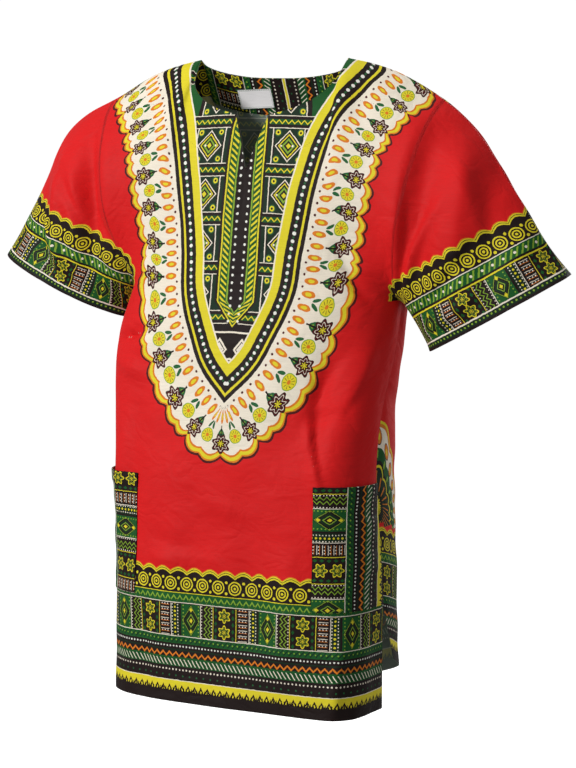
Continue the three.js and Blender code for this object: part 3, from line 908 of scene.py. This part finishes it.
def yokePanel(s, y, tip):
    # inside the yoke's outline: block columns either side of a band that runs down from the neck to
    # a point at the tip, p = |s| + 0.8 max(y - (tip - 35), 0), and a shield under it
    side = abs(s)
    p = side + (y - (tip - 35)).step("MAXIMUM", 0.0) * 0.8
    blocks, middleOfBlock = 58, 54.5
    base = bands(side, [(0, "darkGreen"), (33, "cream"), (34.5, "dark"), (36, "darkGreen"), (73, "cream"),
                        (74.5, "dark"), (80, "green"), (120, "green")])
    v = y.every(blocks)
    gem = lozenge(side - middleOfBlock, v, 17.5, 19)
    base = ringed(base, gem, 1, [(0, "yellow"), (0.18, "dark"), (0.34, "lime"), (0.50, "darkGreen"),
                                 (0.66, "yellow"), (0.76, "dark"), (0.90, "cream")])
    base = paint(base, radius(side.every(15), v).below(1.5) * gem.below(0.62), "cream")
    corner = radius(abs(side - middleOfBlock) - 14.5, abs(v) - 16)
    base = ringed(base, corner, 4.6, [(0, "dark"), (1.4, "yellow"), (3.2, "leaf")])
    across = (y + blocks / 2).every(blocks)
    bar = bands(across, [(-9, "darkGreen"), (-8, "cream"), (-7, "dark"), (-3.2, "green"), (3.2, "dark"),
                         (7, "cream"), (8, "darkGreen")])
    base = paint(base, across.band(-8, 8), bar)
    base = paint(base, abs(across - side.zigzag(8, 4.4) + 2.2).below(0.9), "yellow")
    rim = bands(y - tip, [(-200, "dark"), (-38, "dark"), (0, "cream"), (2.5, "dark"), (60, "dark")])
    base = paint(base, (y - (tip - 8)).step("GREATER_THAN", 0.0), rim)
    for shape, edge, stops in (
            (lozenge(side - 15, y - (tip + 22), 11, 14), 1,
             [(0, "dark"), (0.35, "cream"), (0.62, "dark"), (0.74, "cream")]),
            (radius(side, y - (tip + 40)), 8, [(0, "cream"), (3, "dark"), (5.6, "cream")]),
            (radius(side - 30, y - (tip + 12)), 8, [(0, "cream"), (2.2, "dark"), (5.0, "cream")])):
        base = ringed(base, shape, edge, stops)
    band = bands(p, [(0, "dark"), (11, "lime"), (13, "green"), (23, "yellow"), (25, "dark"), (29, "dark")])
    band = paint(band, radius(side - 6.5, y.every(9)).below(1.6), "white")
    plait = abs((y + p * 0.9).every(7)).below(1.5) * p.band(14, 22)
    return paint(base, p.below(28), paint(band, plait, "yellow"))


def yokePrint(s, y, t, e, tip):
    # the outline's bands, by the distance e out from it, the flowered field round them, then red
    sprigs = 42
    edge = e - abs((t * (2 * np.pi / sprigs)).sine()) * 5 - abs((t * (np.pi / sprigs)).sine()) * 5
    field = bands(edge, [(0, "cream"), (52, "orange"), (54.5, "yellow"), (59, "orange"), (61, "maroon"),
                         (64, "red"), (70, "red")])
    petal = radius(t.every(sprigs / 3), e - 15.5, 4.3, 9.6)
    field = ringed(field, petal, 1, [(0, "yellow"), (0.42, "orange"), (0.88, "cream")])
    field = paint(field, radius((t + sprigs / 6).every(sprigs / 3), e - 6).below(1.5), "maroon")
    x = t.every(sprigs)
    z = (t + sprigs / 2).every(sprigs)
    field = ringed(field, leafRadius(abs(x), e - 33, -38, 3.2, 9.0), 1, [(0, "lime"), (0.34, "leaf")])
    field = paint(field, abs(x).below(1.0) * e.band(26, 46), "dark")
    field = ringed(field, flower(x, e - 47, 7, 1.7), 10.4, [
        (0, "yellow"), (2.4, "dark"), (4.0, "maroon"), (6.4, "cream"), (7.3, "maroon"), (9.4, "dark")])
    disk = radius(z, e - 41)
    field = ringed(field, disk, 8.6, [(0, "orange"), (2.2, "yellow"), (7.6, "lime")])
    rays = abs((z.step("ARCTAN2", e - 41) * 5).sine()).below(0.25) * disk.band(3, 6.6)
    field = paint(field, rays, "dark")
    field = paint(field, leafRadius(abs(z) - 3.2, e - 27.5, -24, 2.0, 5.2).below(1), "leaf")
    outline = bands(e, [(-40, "cream"), (-34, "cream"), (-32, "yellow"), (-22, "dark"), (-8, "yellow"),
                        (-5, "dark"), (0, "cream")])
    outline = paint(outline, radius(t.every(9), e + 15).below(2.2), "white")
    outline = paint(outline, radius((t + 4.5).every(9), e + 15).below(1.4), "leaf")
    colour = paint(field, e.below(0), outline)
    return paint(colour, e.below(-34), yokePanel(s, y, tip))


def hipPrint(side, y):
    # half a medallion at each side seam, its two halves meeting there
    up = y - printSizes["hipLevel"]
    r = radius(side, up, 0.54, 0.86)
    turned = side.step("ARCTAN2", up)
    lobes = r - abs((turned * 9).sine()) * 7
    colour = bands(lobes, [(0, "yellow"), (7, "dark"), (14, "darkGreen"), (48, "yellow"), (52, "dark"),
                           (58, "green"), (76, "cream"), (104, "orange"), (109, "yellow"), (113, "red")])
    spokes = abs((turned * 12).sine()).below(0.34)
    colour = paint(colour, spokes * r.band(22, 46), "orange")
    colour = paint(colour, spokes * r.band(63, 74), "lime")
    petals = radius((turned * (168 / np.pi)).every(14), r - 92, 4.6, 11)
    return ringed(colour, petals, 1, [(0, "yellow"), (0.4, "orange"), (0.86, "maroon")])


# ---- finishes

def readPlace(tree, name):
    return addNode(tree, "Attribute", {}, attribute_type="GEOMETRY", attribute_name=name).outputs["Vector"]


def splitPlace(tree, vector):
    # its three numbers, in millimetres
    return [Field(tree, socket) * 1000 for socket in addNode(tree, "SeparateXYZ", {0: vector}).outputs]


clothLook = {"sheen": 0.03, "sheenRoughness": 0.45, "specular": 0.2, "threadPitch": 0.00055,
             "weaveDepth": 0.00006, "rumpleDepth": 0.0034, "rumpleScale": 21.0, "fading": 0.6}


def newMaterial(name):
    material = bpy.data.materials.new(name)
    material.use_nodes = True
    return material, material.node_tree, material.node_tree.nodes["Principled BSDF"]


def bump(tree, height, distance, strength=1.0, **under):
    values = {"Height": height, "Distance": distance, "Strength": strength, **under}
    return addNode(tree, "Bump", values).outputs[0]


def threadLook(tree, place, colour, pitch, **more):
    # woven threads, and the dyed colour over them
    threads = useGroup(tree, weave, Place=place, Pitch=pitch)
    tone = threads.outputs["Tone"]
    return threads, useGroup(tree, dyeing, Colour=colour, Place=place, Tone=tone, **more)


def clothMaterial(name, colourOf):
    # printed cotton: the print, dyed unevenly, paler on its wrong side, over a woven, rumpled surface
    material, tree, shader = newMaterial(name)
    look = clothLook
    flat = readPlace(tree, "clothPlace")
    threads, dyed = threadLook(tree, flat, colourOf(tree), look["threadPitch"])
    wrongSide = splitPlace(tree, readPlace(tree, "edgePlace"))[2] * mm
    rumples = useGroup(tree, rumple, Place=flat, Scale=look["rumpleScale"]).outputs["Height"]
    first = bump(tree, rumples, look["rumpleDepth"], 0.8)
    plug(tree, shader, {
        "Base Color": paint(dyed.outputs["Colour"], wrongSide * look["fading"], "washed"),
        "Roughness": dyed.outputs["Roughness"],
        "Normal": bump(tree, threads.outputs["Height"], look["weaveDepth"], 0.5, Normal=first),
        "Specular IOR Level": look["specular"],
        "Sheen Weight": look["sheen"],
        "Sheen Roughness": look["sheenRoughness"],
    })
    return material


def wobbled(tree, name, amount=0.0011):
    return splitPlace(tree, useGroup(tree, wobble, Place=readPlace(tree, name), Amount=amount).outputs[0])


def redColour(tree):
    return "red"


def hemColour(tree):
    s, _, h = wobbled(tree, "clothPlace")
    return hemBorder(s, h)


def cuffColour(tree):
    u, h, _ = wobbled(tree, "edgePlace")
    return cuffBorder(u, h)


def yokeColour(tip):
    def colour(tree):
        s, y, _ = wobbled(tree, "clothPlace")
        t, e, _ = wobbled(tree, "yokePlace")
        return yokePrint(s, y, t, e, tip)
    return colour


def hipColour(tree):
    side, y, _ = wobbled(tree, "edgePlace")
    return hipPrint(side, y)


finishes = {
    "red": clothMaterial("redCotton", redColour),
    "hem": clothMaterial("hemPrint", hemColour),
    "cuff": clothMaterial("cuffPrint", cuffColour),
    "yokeFront": clothMaterial("yokePrint", yokeColour(335)),
    "yokeBack": clothMaterial("backYokePrint", yokeColour(200)),
    "hip": clothMaterial("hipMedallionPrint", hipColour),
}
print("cloth finishes made:", ", ".join(finishes))


# ---- the two panels

yoke = {  # half width of the print's outline, by the drop below the neck point, in millimetres
    "front": [(-60, 200), (0, 190), (40, 152), (90, 117), (150, 98), (240, 82), (290, 77), (340, 58),
              (380, 37), (420, 0)],
    "back": [(-60, 200), (0, 190), (40, 158), (90, 128), (150, 104), (200, 84), (240, 56), (280, 0)],
    "field": 72,  # width of the flowered field
}


def outlinePlaces(s, y, rows):
    # nearest point of the outline's polyline: t is the length along it from its tip, e the distance
    # out from it, less than 0 inside; round the tip's corner t is the angle turned times 45 mm
    points = np.array([(w, d) for d, w in rows], float)[::-1]
    side = np.abs(s)
    start, end = points[:-1], points[1:]
    run = end - start
    length = np.linalg.norm(run, axis=-1)
    before = np.concatenate([[0], np.cumsum(length)[:-1]])
    offset = np.stack([side, y], -1)[..., None, :] - start
    share = np.clip((offset * run).sum(-1) / length**2, 0, 1)
    gap = offset - share[..., None] * run
    distance = np.linalg.norm(gap, axis=-1)
    nearest = distance.argmin(-1)[..., None]
    pick = lambda values: np.take_along_axis(values, nearest, -1)[..., 0]
    cross = run[:, 0] * offset[..., 1] - run[:, 1] * offset[..., 0]
    t = pick(before + share * length)
    e = pick(distance) * np.sign(pick(cross))
    angle = np.arctan2(side, np.maximum(y - points[0, 1], 0.1))
    corner = np.arctan2(-run[0, 1], run[0, 0])
    return np.where((t < 0.01) & (e > 0), 45 * np.minimum(angle, corner), t + 45 * corner), e


def smoothTable(rows):
    # the outline's table with rounded corners, 8 steps between rows
    drops = np.array([r[0] for r in rows], float)
    fine = np.concatenate([np.linspace(a, b, 8, endpoint=False) for a, b in zip(drops, drops[1:])]
                          + [drops[-1:]])
    return list(zip(fine, smoothRows(table("drop half", rows), "drop", "half", fine)))


def dressPanel(name, panel, seed):
    made = makePanel(panel, seed)
    places = clothPlaces(made["plain"])
    valid = ~np.isnan(made["points"][..., 0])
    made["places"] = places
    clean = {key: np.nan_to_num(values, nan=1.0) for key, values in places.items()}
    t, e = outlinePlaces(clean["across"] / mm, clean["down"] / mm, smoothTable(yoke[panel]))
    seamward = np.full(valid.shape, 1.0)
    body = slice((middle - form["bodyColumns"]) * fineness, (middle + form["bodyColumns"]) * fineness + 1)
    half = clean["across"][body]
    seamward[body] = np.where(half < 0, half - half[:1], half[-1:] - half)
    rowIndex = np.arange(valid.shape[1])[None, :]
    lower = (rowIndex > upperRows * fineness) & np.ones(valid.shape, bool)
    first = np.where(lower, seamward, clean["round"])
    second = np.where(lower, clean["down"], clean["fromCuff"])
    arrays = {
        "clothPlace": np.stack([clean["across"], clean["down"], clean["aboveHem"]], -1),
        "edgePlace": np.stack([first, second, np.zeros_like(first)], -1),
        "yokePlace": np.stack([t * mm, e * mm, np.zeros_like(t)], -1),
    }
    centre = lambda v: (v[:-1, :-1] + v[1:, :-1] + v[:-1, 1:] + v[1:, 1:]) / 4
    zone = np.zeros((valid.shape[0] - 1, valid.shape[1] - 1), int)
    low = centre(lower.astype(float)) > 0
    zone[(centre(e) < yoke["field"] + 4) & (centre(clean["down"]) < 0.6)] = 1
    zone[(centre(clean["fromCuff"]) < printSizes["cuff"] * mm) & ~low] = 3
    if panel == "back":
        level = np.abs(centre(clean["down"]) - printSizes["hipLevel"] * mm)
        near = centre(seamward) < printSizes["hipHalfWidth"] * mm
        zone[near & low & (level < printSizes["hipHalfHeight"] * mm)] = 4
    zone[low & (centre(clean["aboveHem"]) < printSizes["hem"] * mm)] = 2
    edge = np.minimum(np.where(valid, clean["aboveHem"], 1), np.where(lower, 1, clean["fromCuff"]))
    thick = mix(clothSizes["hemWall"], clothSizes["wall"],
                smoothStep(edge / mm, clothSizes["hemWidth"] - 1, clothSizes["hemWidth"] + 1))
    outer = made["points"]
    inner = outer - made["normals"] * (thick * mm)[..., None]
    mesh = wallMesh(name, outer, inner, panel == "front", arrays, zone, 1)
    yokeFinish = finishes["yokeFront" if panel == "front" else "yokeBack"]
    materials = [finishes["red"], yokeFinish, finishes["hem"], finishes["cuff"], finishes["hip"]]
    made["piece"] = addPiece(name, mesh, materials, panel)
    cells = outer[1:, :-1] - outer[:-1, 1:], outer[1:, 1:] - outer[:-1, :-1]
    made["area"] = float(np.nansum(np.linalg.norm(np.cross(*cells), axis=-1)) / 2)
    print(f"{name}: {len(mesh.polygons)} faces, {made['area']:.3f} m2 of cloth")
    return made


front = dressPanel("frontPanel", "front", 3)
back = dressPanel("backPanel", "back", 5)


# ---- pockets, cut from the border and turned a quarter

pocketSizes = {"steps": 3, "wall": 0.9, "mouthHem": 14, "mouthWall": 1.7, "gape": 2.6, "ripple": 4.5,
               "ripples": 3.4, "borderStart": 118, "mirrored": -1}


def finerBlock(values, columns, rows, steps):
    # a block of a panel's fine grid, refined again both ways
    block = values[columns, rows]
    return refine(refine(block, steps=steps).swapaxes(0, 1), steps=steps).swapaxes(0, 1)


def addPocket(name, node, side, seed):
    # the panel's surface moved out: gap + gape sin(pi u) (1 - v)^3 + ripple u^3 (1 - u) sin(2 pi n v),
    # u from the inner edge to the side seam, v from the mouth down
    size = pocketSizes
    firstRow = (upperRows + 1 + form["lowerRows"].index(form["pocketTop"])) * fineness
    lastRow = (upperRows + 1 + form["lowerRows"].index(form["pocketBottom"])) * fineness
    inner, outerEdge = form["pocketColumn"] * fineness, form["bodyColumns"] * fineness
    centre = middle * fineness
    columns = (slice(centre + inner, centre + outerEdge + 1) if side > 0
               else slice(centre - outerEdge, centre - inner + 1))
    rows = slice(firstRow, lastRow + 1)
    surface = finerBlock(front["points"], columns, rows, size["steps"])
    normals = unit(finerBlock(front["normals"], columns, rows, size["steps"]))
    u = np.linspace(0, 1, len(surface))[:, None]
    u = u if side > 0 else 1 - u
    v = np.linspace(0, 1, surface.shape[1])[None, :]
    lift = size["gape"] * np.sin(np.pi * np.clip(u, 0, 1)) ** 1.2 * (1 - v) ** 3
    wave = np.sin(2 * np.pi * size["ripples"] * v + seed) + 0.4 * np.sin(2 * np.pi * 7.3 * v + 2 * seed)
    lift += size["ripple"] * wave * u**3 * (1 - u) * 3 * np.sin(np.pi * v) ** 0.5
    lift += 0.5 * np.sin(9 * u + seed) * np.sin(np.pi * v) * np.sin(np.pi * u)
    acrossLength = runLength(surface)
    fromInner = acrossLength if side > 0 else acrossLength[-1:] - acrossLength
    down = runLength(surface.swapaxes(0, 1)).swapaxes(0, 1)
    mouth = 1 - smoothStep(down / mm, size["mouthHem"] - 0.8, size["mouthHem"] + 0.8)
    stitchDip = 0.25 * np.exp(-(((fromInner / mm - 2.5) / 1.4) ** 2))
    gap = 0.35 + np.maximum(lift, 0)
    thick = mix(size["wall"], size["mouthWall"], mouth) - stitchDip
    bottom = surface + normals * (gap * mm)[..., None]
    top = surface + normals * ((gap + thick) * mm)[..., None]
    height = size["borderStart"] * mm - fromInner
    places = {
        "clothPlace": np.stack([down * side * size["mirrored"], fromInner, height], -1),
        "edgePlace": np.zeros_like(surface),
    }
    mesh = wallMesh(name, top, bottom, True, places)
    piece = addPiece(name, mesh, [finishes["hem"]], node)
    outward = unit(np.cross(np.gradient(top, axis=1), np.gradient(top, axis=0)))
    width, depth = float(fromInner.max()), float(down.max())
    print(f"{name}: {len(mesh.polygons)} faces, {width:.3f} x {depth:.3f} m")
    grids = {"points": top, "normals": outward, "fromInner": fromInner, "down": down}
    return {"piece": piece, "size": (width, depth),
            **{key: values[::side] for key, values in grids.items()}}


leftPocket = addPocket("leftPocket", "pocket_left", 1, 0.4)
rightPocket = addPocket("rightPocket", "pocket_right", -1, 2.1)


# ---- back neck facing and label

facingSizes = {"wall": 0.7, "gap": 0.45, "steps": 2, "borderFrom": 24}


def addFacing():
    # the back's surface moved in by the cloth's wall and a gap, its lower edge eased up at the ends
    size = facingSizes
    centre = middle * fineness
    columns = slice(centre - form["facingColumns"] * fineness, centre + form["facingColumns"] * fineness + 1)
    rows = slice(0, form["facingRows"] * fineness + 1)
    surface = finerBlock(back["points"], columns, rows, size["steps"])
    normals = unit(finerBlock(back["normals"], columns, rows, size["steps"]))
    across = np.linspace(-1, 1, len(surface))[:, None]
    down = np.linspace(0, 1, surface.shape[1])[None, :]
    ease = 0.5 * np.sin(across * 17 + 1) * down**3 + 0.3 * np.sin(across * 31) * down**3
    start = clothSizes["wall"] + size["gap"] + np.maximum(ease, 0)
    outer = surface - normals * (start * mm)[..., None]
    inner = surface - normals * ((start + size["wall"]) * mm)[..., None]
    s = runLength(surface)
    s = s - s[len(s) // 2]
    d = runLength(surface.swapaxes(0, 1)).swapaxes(0, 1)
    places = {
        "clothPlace": np.stack([d, s, np.abs(s) + size["borderFrom"] * mm], -1),
        "edgePlace": np.zeros_like(surface),
    }
    mesh = wallMesh("backNeckFacing", outer, inner, False, places)
    piece = addPiece("backNeckFacing", mesh, [finishes["hem"]], "back_neck_facing")
    return {"piece": piece, "points": inner, "normals": -normals, "down": d, "length": float(np.ptp(s))}


facing = addFacing()
depthOfFacing = float(np.median(facing["down"][:, -1]))
print(f"facing: {facing['length']:.3f} x {depthOfFacing:.3f} m")


def satinMaterial():
    # satin weave: long floats of bright thread, and a denser woven border
    material, tree, shader = newMaterial("labelSatin")
    place = readPlace(tree, "clothPlace")
    edge = splitPlace(tree, place)[2]
    colour = bands(edge, [(0, "washed"), (0.5, "satin"), (1.5, "washed"), (1.9, "satin"), (30, "satin")])
    threads, dyed = threadLook(tree, place, colour, 0.0004, Unevenness=0.05)
    plug(tree, shader, {
        "Base Color": dyed.outputs["Colour"],
        "Roughness": Field(tree, dyed.outputs["Roughness"]) - 0.18,
        "Normal": bump(tree, threads.outputs["Height"], 0.00006, 0.5),
        "Specular IOR Level": 0.4,
    })
    return material


labelSizes = {"x": -42, "half": 23, "top": -36, "height": 23, "wall": 0.45, "gap": 0.5, "tilt": 2.0,
              "curl": 1.2}


def addLabel():
    # a patch over the facing: y = quadratic in x and z fitted to the facing's inner face, less a gap,
    # its lower edge curling off by curl * v^2
    size = labelSizes
    near = facing["points"].reshape(-1, 3) / mm
    near = near[(np.abs(near[:, 0] - size["x"]) < 42) & (near[:, 2] < -24)]
    terms = lambda x, z: np.stack([np.ones_like(x), x, z, x * x, x * z, z * z], -1)
    factors = np.linalg.lstsq(terms(near[:, 0], near[:, 2]), near[:, 1], rcond=None)[0]
    above = np.ptp(near[:, 1] - terms(near[:, 0], near[:, 2]) @ factors) / 2
    u = np.linspace(-1, 1, 41)[:, None]
    v = np.linspace(0, 1, 21)[None, :]
    lean = np.radians(size["tilt"])
    x0, z0 = size["half"] * u + 0 * v, -size["height"] * (v - 0.5) + 0 * u
    x = size["x"] + x0 * np.cos(lean) - z0 * np.sin(lean)
    z = size["top"] - size["height"] / 2 + x0 * np.sin(lean) + z0 * np.cos(lean)
    y = terms(x, z) @ factors - above - size["gap"] - size["curl"] * v**2 * (1 + 0.3 * np.sin(4 * u))
    outer = np.stack([x, y, z], -1) * mm
    inner = outer - np.array([0, size["wall"], 0]) * mm
    rim = np.minimum(size["half"] - np.abs(x0), size["height"] / 2 - np.abs(z0))
    places = {"clothPlace": np.stack([x0, z0, rim], -1) * mm, "edgePlace": np.zeros_like(outer)}
    mesh = wallMesh("neckLabel", outer, inner, False, places)
    piece = addPiece("neckLabel", mesh, [satinMaterial()], "label")
    return {"points": inner, "normals": np.broadcast_to([0.0, -1.0, 0.0], inner.shape)}


label = addLabel()


# ---- stitching

stitchSizes = {"pitch": 3.1, "length": 2.3, "radius": 0.26, "sink": 0.5}


def contour(measure, value, points, normals):
    # where a measure that grows along each row of a grid reaches a value, one point a row
    k = np.clip((measure >= value).argmax(1), 1, None)[:, None]
    low = np.take_along_axis(measure, k - 1, 1)[:, 0]
    high = np.take_along_axis(measure, k, 1)[:, 0]
    share = np.clip((value - low) / np.maximum(high - low, 1e-9), 0, 1)[:, None]
    pick = lambda grid, at: np.take_along_axis(grid, at[..., None], 1)[:, 0]
    return (mix(pick(points, k - 1), pick(points, k), share),
            unit(mix(pick(normals, k - 1), pick(normals, k), share)))


def stitchTemplate(sides=6):
    # a short thread: rings of radius r sqrt(1 - w^4) along w from -1 to 1, closed by a point at each end
    w = np.array([-0.86, 0, 0.86])
    ring = stitchSizes["radius"] * np.sqrt(1 - w**4)
    a = np.arange(sides) / sides * 2 * np.pi
    lengthways = np.repeat(w * stitchSizes["length"] / 2, sides)
    around = np.concatenate([r * np.cos(a) for r in ring])
    upward = np.concatenate([r * np.sin(a) for r in ring]) - stitchSizes["sink"] * np.repeat(w**2, sides)
    ends = [[end * stitchSizes["length"] / 2, 0, -stitchSizes["sink"]] for end in (-1, 1)]
    vertices = np.concatenate([np.stack([lengthways, around, upward], -1), ends]) * mm
    k = np.arange(sides)
    n = (k + 1) % sides
    faces = [np.stack([k, n, np.full(sides, 3 * sides)], -1)[:, ::-1]]
    for r in (0, 1):
        a0, b0, c0, d0 = k + r * sides, n + r * sides, n + (r + 1) * sides, k + (r + 1) * sides
        faces += [np.stack([a0, b0, c0], -1), np.stack([a0, c0, d0], -1)]
    faces.append(np.stack([k + 2 * sides, n + 2 * sides, np.full(sides, 3 * sides + 1)], -1))
    return vertices, np.concatenate(faces)


def threadMaterial():
    # twisted cotton: fine slanted stripes across the thread
    material, tree, shader = newMaterial("stitchThread")
    place = addNode(tree, "TexCoord", {}).outputs["Object"]
    threads, dyed = threadLook(tree, place, "thread", 0.0003, Unevenness=0.5)
    plug(tree, shader, {
        "Base Color": dyed.outputs["Colour"],
        "Roughness": dyed.outputs["Roughness"],
        "Normal": bump(tree, threads.outputs["Height"], 0.00005),
    })
    return material


threadFinish = threadMaterial()


def addStitches(name, paths):
    # stitches a pitch apart along each path, each in the frame of the path's run and the cloth's normal
    vertices, faces = stitchTemplate()
    allVertices, allFaces, count = [], [], 0
    for points, normals in paths:
        length = runLength(points)
        centres = np.arange(stitchSizes["pitch"] / 2, length[-1] / mm, stitchSizes["pitch"]) * mm
        at = lambda grid, where: np.stack([np.interp(where, length, grid[:, k]) for k in range(3)], -1)
        run = unit(at(points, centres + 0.0008) - at(points, centres - 0.0008))
        out = at(normals, centres)
        out = unit(out - run * (out * run).sum(-1, keepdims=True))
        side = np.cross(out, run)
        middles = at(points, centres)
        local = middles[:, None] + run[:, None] * vertices[None, :, :1]
        local = local + side[:, None] * vertices[None, :, 1:2] + out[:, None] * vertices[None, :, 2:]
        allVertices.append(local.reshape(-1, 3))
        firsts = count + np.arange(len(centres)) * len(vertices)
        allFaces.append((faces[None] + firsts[:, None, None]).reshape(-1, 3))
        count += len(centres) * len(vertices)
    mesh = makeMesh(name, np.concatenate(allVertices), np.concatenate(allFaces))
    piece = addPiece(name, mesh, [threadFinish])
    print(f"{name}: {len(mesh.polygons)} faces")
    return piece


def panelPaths(made):
    # lines of stitching of one panel: neckline, facing, hem, cuffs and side slits
    points, normals, places = made["points"], made["normals"], made["places"]
    centre, neck = middle * fineness, form["neckColumns"] * fineness
    fromEdge = places["down"] - places["down"][:, :1]
    near = slice(centre - neck, centre + neck + 1)
    wide = slice(centre - neck - 10, centre + neck + 11)
    body = slice(centre - form["bodyColumns"] * fineness + 2, centre + form["bodyColumns"] * fineness - 1)
    paths = [contour(fromEdge[near], 0.0028, points[near], normals[near]),
             contour(fromEdge[wide], 0.054, points[wide], normals[wide]),
             contour(1 - places["aboveHem"][body], 1 - 0.0165, points[body], normals[body])]
    rows = slice(2, upperRows * fineness - 1)
    lastUpper = slice((upperRows + len(form["lowerRows"]) - 4) * fineness + 3, -4)
    for turn in (1, -1):
        arm = slice(centre + turn * form["bodyColumns"] * fineness, None, turn)
        grid = lambda values: values[arm, rows].swapaxes(0, 1)
        paths.append(contour(1 - grid(places["fromCuff"]), 1 - 0.018, grid(points), grid(normals)))
        half = slice(centre, centre + turn * (form["bodyColumns"] * fineness + 1), turn)
        low = lambda values: values[half, lastUpper].swapaxes(0, 1)
        out = np.abs(low(places["across"]))
        paths.append(contour(1 - (out[:, -1:] - out), 1 - 0.008, low(points), low(normals)))
    return paths


def pocketPaths(pocket):
    # down the inner edge, along the bottom, and along the mouth's hem
    points, normals = pocket["points"], pocket["normals"]
    across = lambda values: values.swapaxes(0, 1)
    inner = contour(across(pocket["fromInner"])[3:-2], 0.0025, across(points)[3:-2], across(normals)[3:-2])
    bottom = contour(1 - (pocket["down"][:, -1:] - pocket["down"])[2:-3], 1 - 0.0025, points[2:-3],
                     normals[2:-3])
    mouth = contour(pocket["down"][1:-3], 0.0125, points[1:-3], normals[1:-3])
    return [inner, bottom, mouth]


addStitches("frontStitching", panelPaths(front))
addStitches("backStitching", panelPaths(back))
addStitches("pocketStitching", pocketPaths(leftPocket) + pocketPaths(rightPocket))
facingLine = contour(facing["down"], depthOfFacing * 0.92, facing["points"], facing["normals"])
labelTop = (label["points"][1:-1, 1], label["normals"][1:-1, 1])
addStitches("facingStitching", [facingLine, labelTop])


# ---- stage

def addStage():
    # a pale floor that turns up into a wall all round: a profile of a line, a quarter circle and a
    # line, turned about the upright axis
    size = stageSizes
    a = np.linspace(0, np.pi / 2, 13)
    wide, high = size["reach"] + size["bend"] * np.sin(a), size["bend"] * (1 - np.cos(a))
    out = np.concatenate([[0, size["reach"] / 2], wide, wide[-1:]])
    up = np.concatenate([[0, 0], high, [size["wall"]]]) + size["floor"]
    turn = np.linspace(0, 2 * np.pi, 97)[:, None]
    points = np.stack([np.cos(turn) * out, np.sin(turn) * out, up + 0 * turn], -1)
    cell = (np.arange(96)[:, None] * len(out) + np.arange(len(out) - 1)).ravel()
    faces = np.stack([cell, cell + len(out), cell + len(out) + 1, cell + 1], -1)
    mesh = makeMesh("floor", points.reshape(-1, 3), faces)
    piece = bpy.data.objects.new("floor", mesh)
    bpy.context.scene.collection.objects.link(piece)
    piece.visible_diffuse = False  # it lights nothing, so that the lamps alone shape the folds
    piece.visible_glossy = False
    piece.visible_shadow = False
    pale, tree, shader = newMaterial("paleFloor")
    place = addNode(tree, "TexCoord", {}).outputs["Object"]
    plug(tree, shader, {
        "Base Color": Field(tree, noise(tree, place, 3, 2.0).outputs[0]) * 0.02 + 0.93,
        "Roughness": 0.95,
        "Specular IOR Level": 0.0,
        "Emission Color": (1, 1, 1, 1),
        "Emission Strength": size["glow"],
    })
    mesh.materials.append(pale)


def addLights():
    scene = bpy.context.scene
    world = bpy.data.worlds.new("studio")
    world.use_nodes = True
    world.node_tree.nodes["Background"].inputs["Color"].default_value = (1, 1, 1, 1)
    world.node_tree.nodes["Background"].inputs["Strength"].default_value = studio["world"]
    scene.world = world
    for name, place, size, power in studio["lamps"]:
        lamp = bpy.data.lights.new(name, "AREA")
        lamp.shape, lamp.size, lamp.energy = "DISK", size, power
        held = bpy.data.objects.new(name, lamp)
        held.location = place
        toward = np.array([0, 0, -0.38]) - np.array(place)
        held.rotation_euler = mathutils.Vector(toward).to_track_quat("-Z", "Y").to_euler()
        scene.collection.objects.link(held)


def addCamera():
    # looks along azimuth and elevation, moved aside and up so that the shirt stands where it should
    a, e = np.radians(view["azimuth"]), np.radians(view["elevation"])
    backward = np.array([np.sin(a) * np.cos(e), -np.cos(a) * np.cos(e), np.sin(e)])
    right = np.array([np.cos(a), np.sin(a), 0])
    up = np.cross(backward, right)
    lens = bpy.data.cameras.new("camera")
    lens.lens, lens.sensor_width = view["lens"], 36
    lens.clip_end = 100
    camera = bpy.data.objects.new("camera", lens)
    camera.location = backward * view["distance"] + right * view["right"] + up * view["up"]
    camera.rotation_euler = mathutils.Matrix(np.stack([right, up, backward], 1)).to_euler()
    bpy.context.scene.collection.objects.link(camera)
    bpy.context.scene.camera = camera


view = {"azimuth": 30, "elevation": 6, "distance": 3.0, "lens": 119, "right": 0.0165, "up": -0.385}
stageSizes = {"floor": -1.25, "reach": 6.0, "bend": 3.0, "wall": 10.0, "glow": 0.72}
studio = {
    "world": 0.27,
    "lamps": [
        ("key", (-1.6, -3.0, 1.0), 0.9, 108),
        ("fill", (2.6, -2.0, 0.2), 1.8, 8),
        ("top", (-0.3, 0.5, 2.4), 1.2, 14),
        ("behind", (0.6, 2.8, 0.9), 1.6, 46),
    ],
}
addStage()
addLights()
addCamera()
bpy.context.scene.view_settings.view_transform = "Standard"
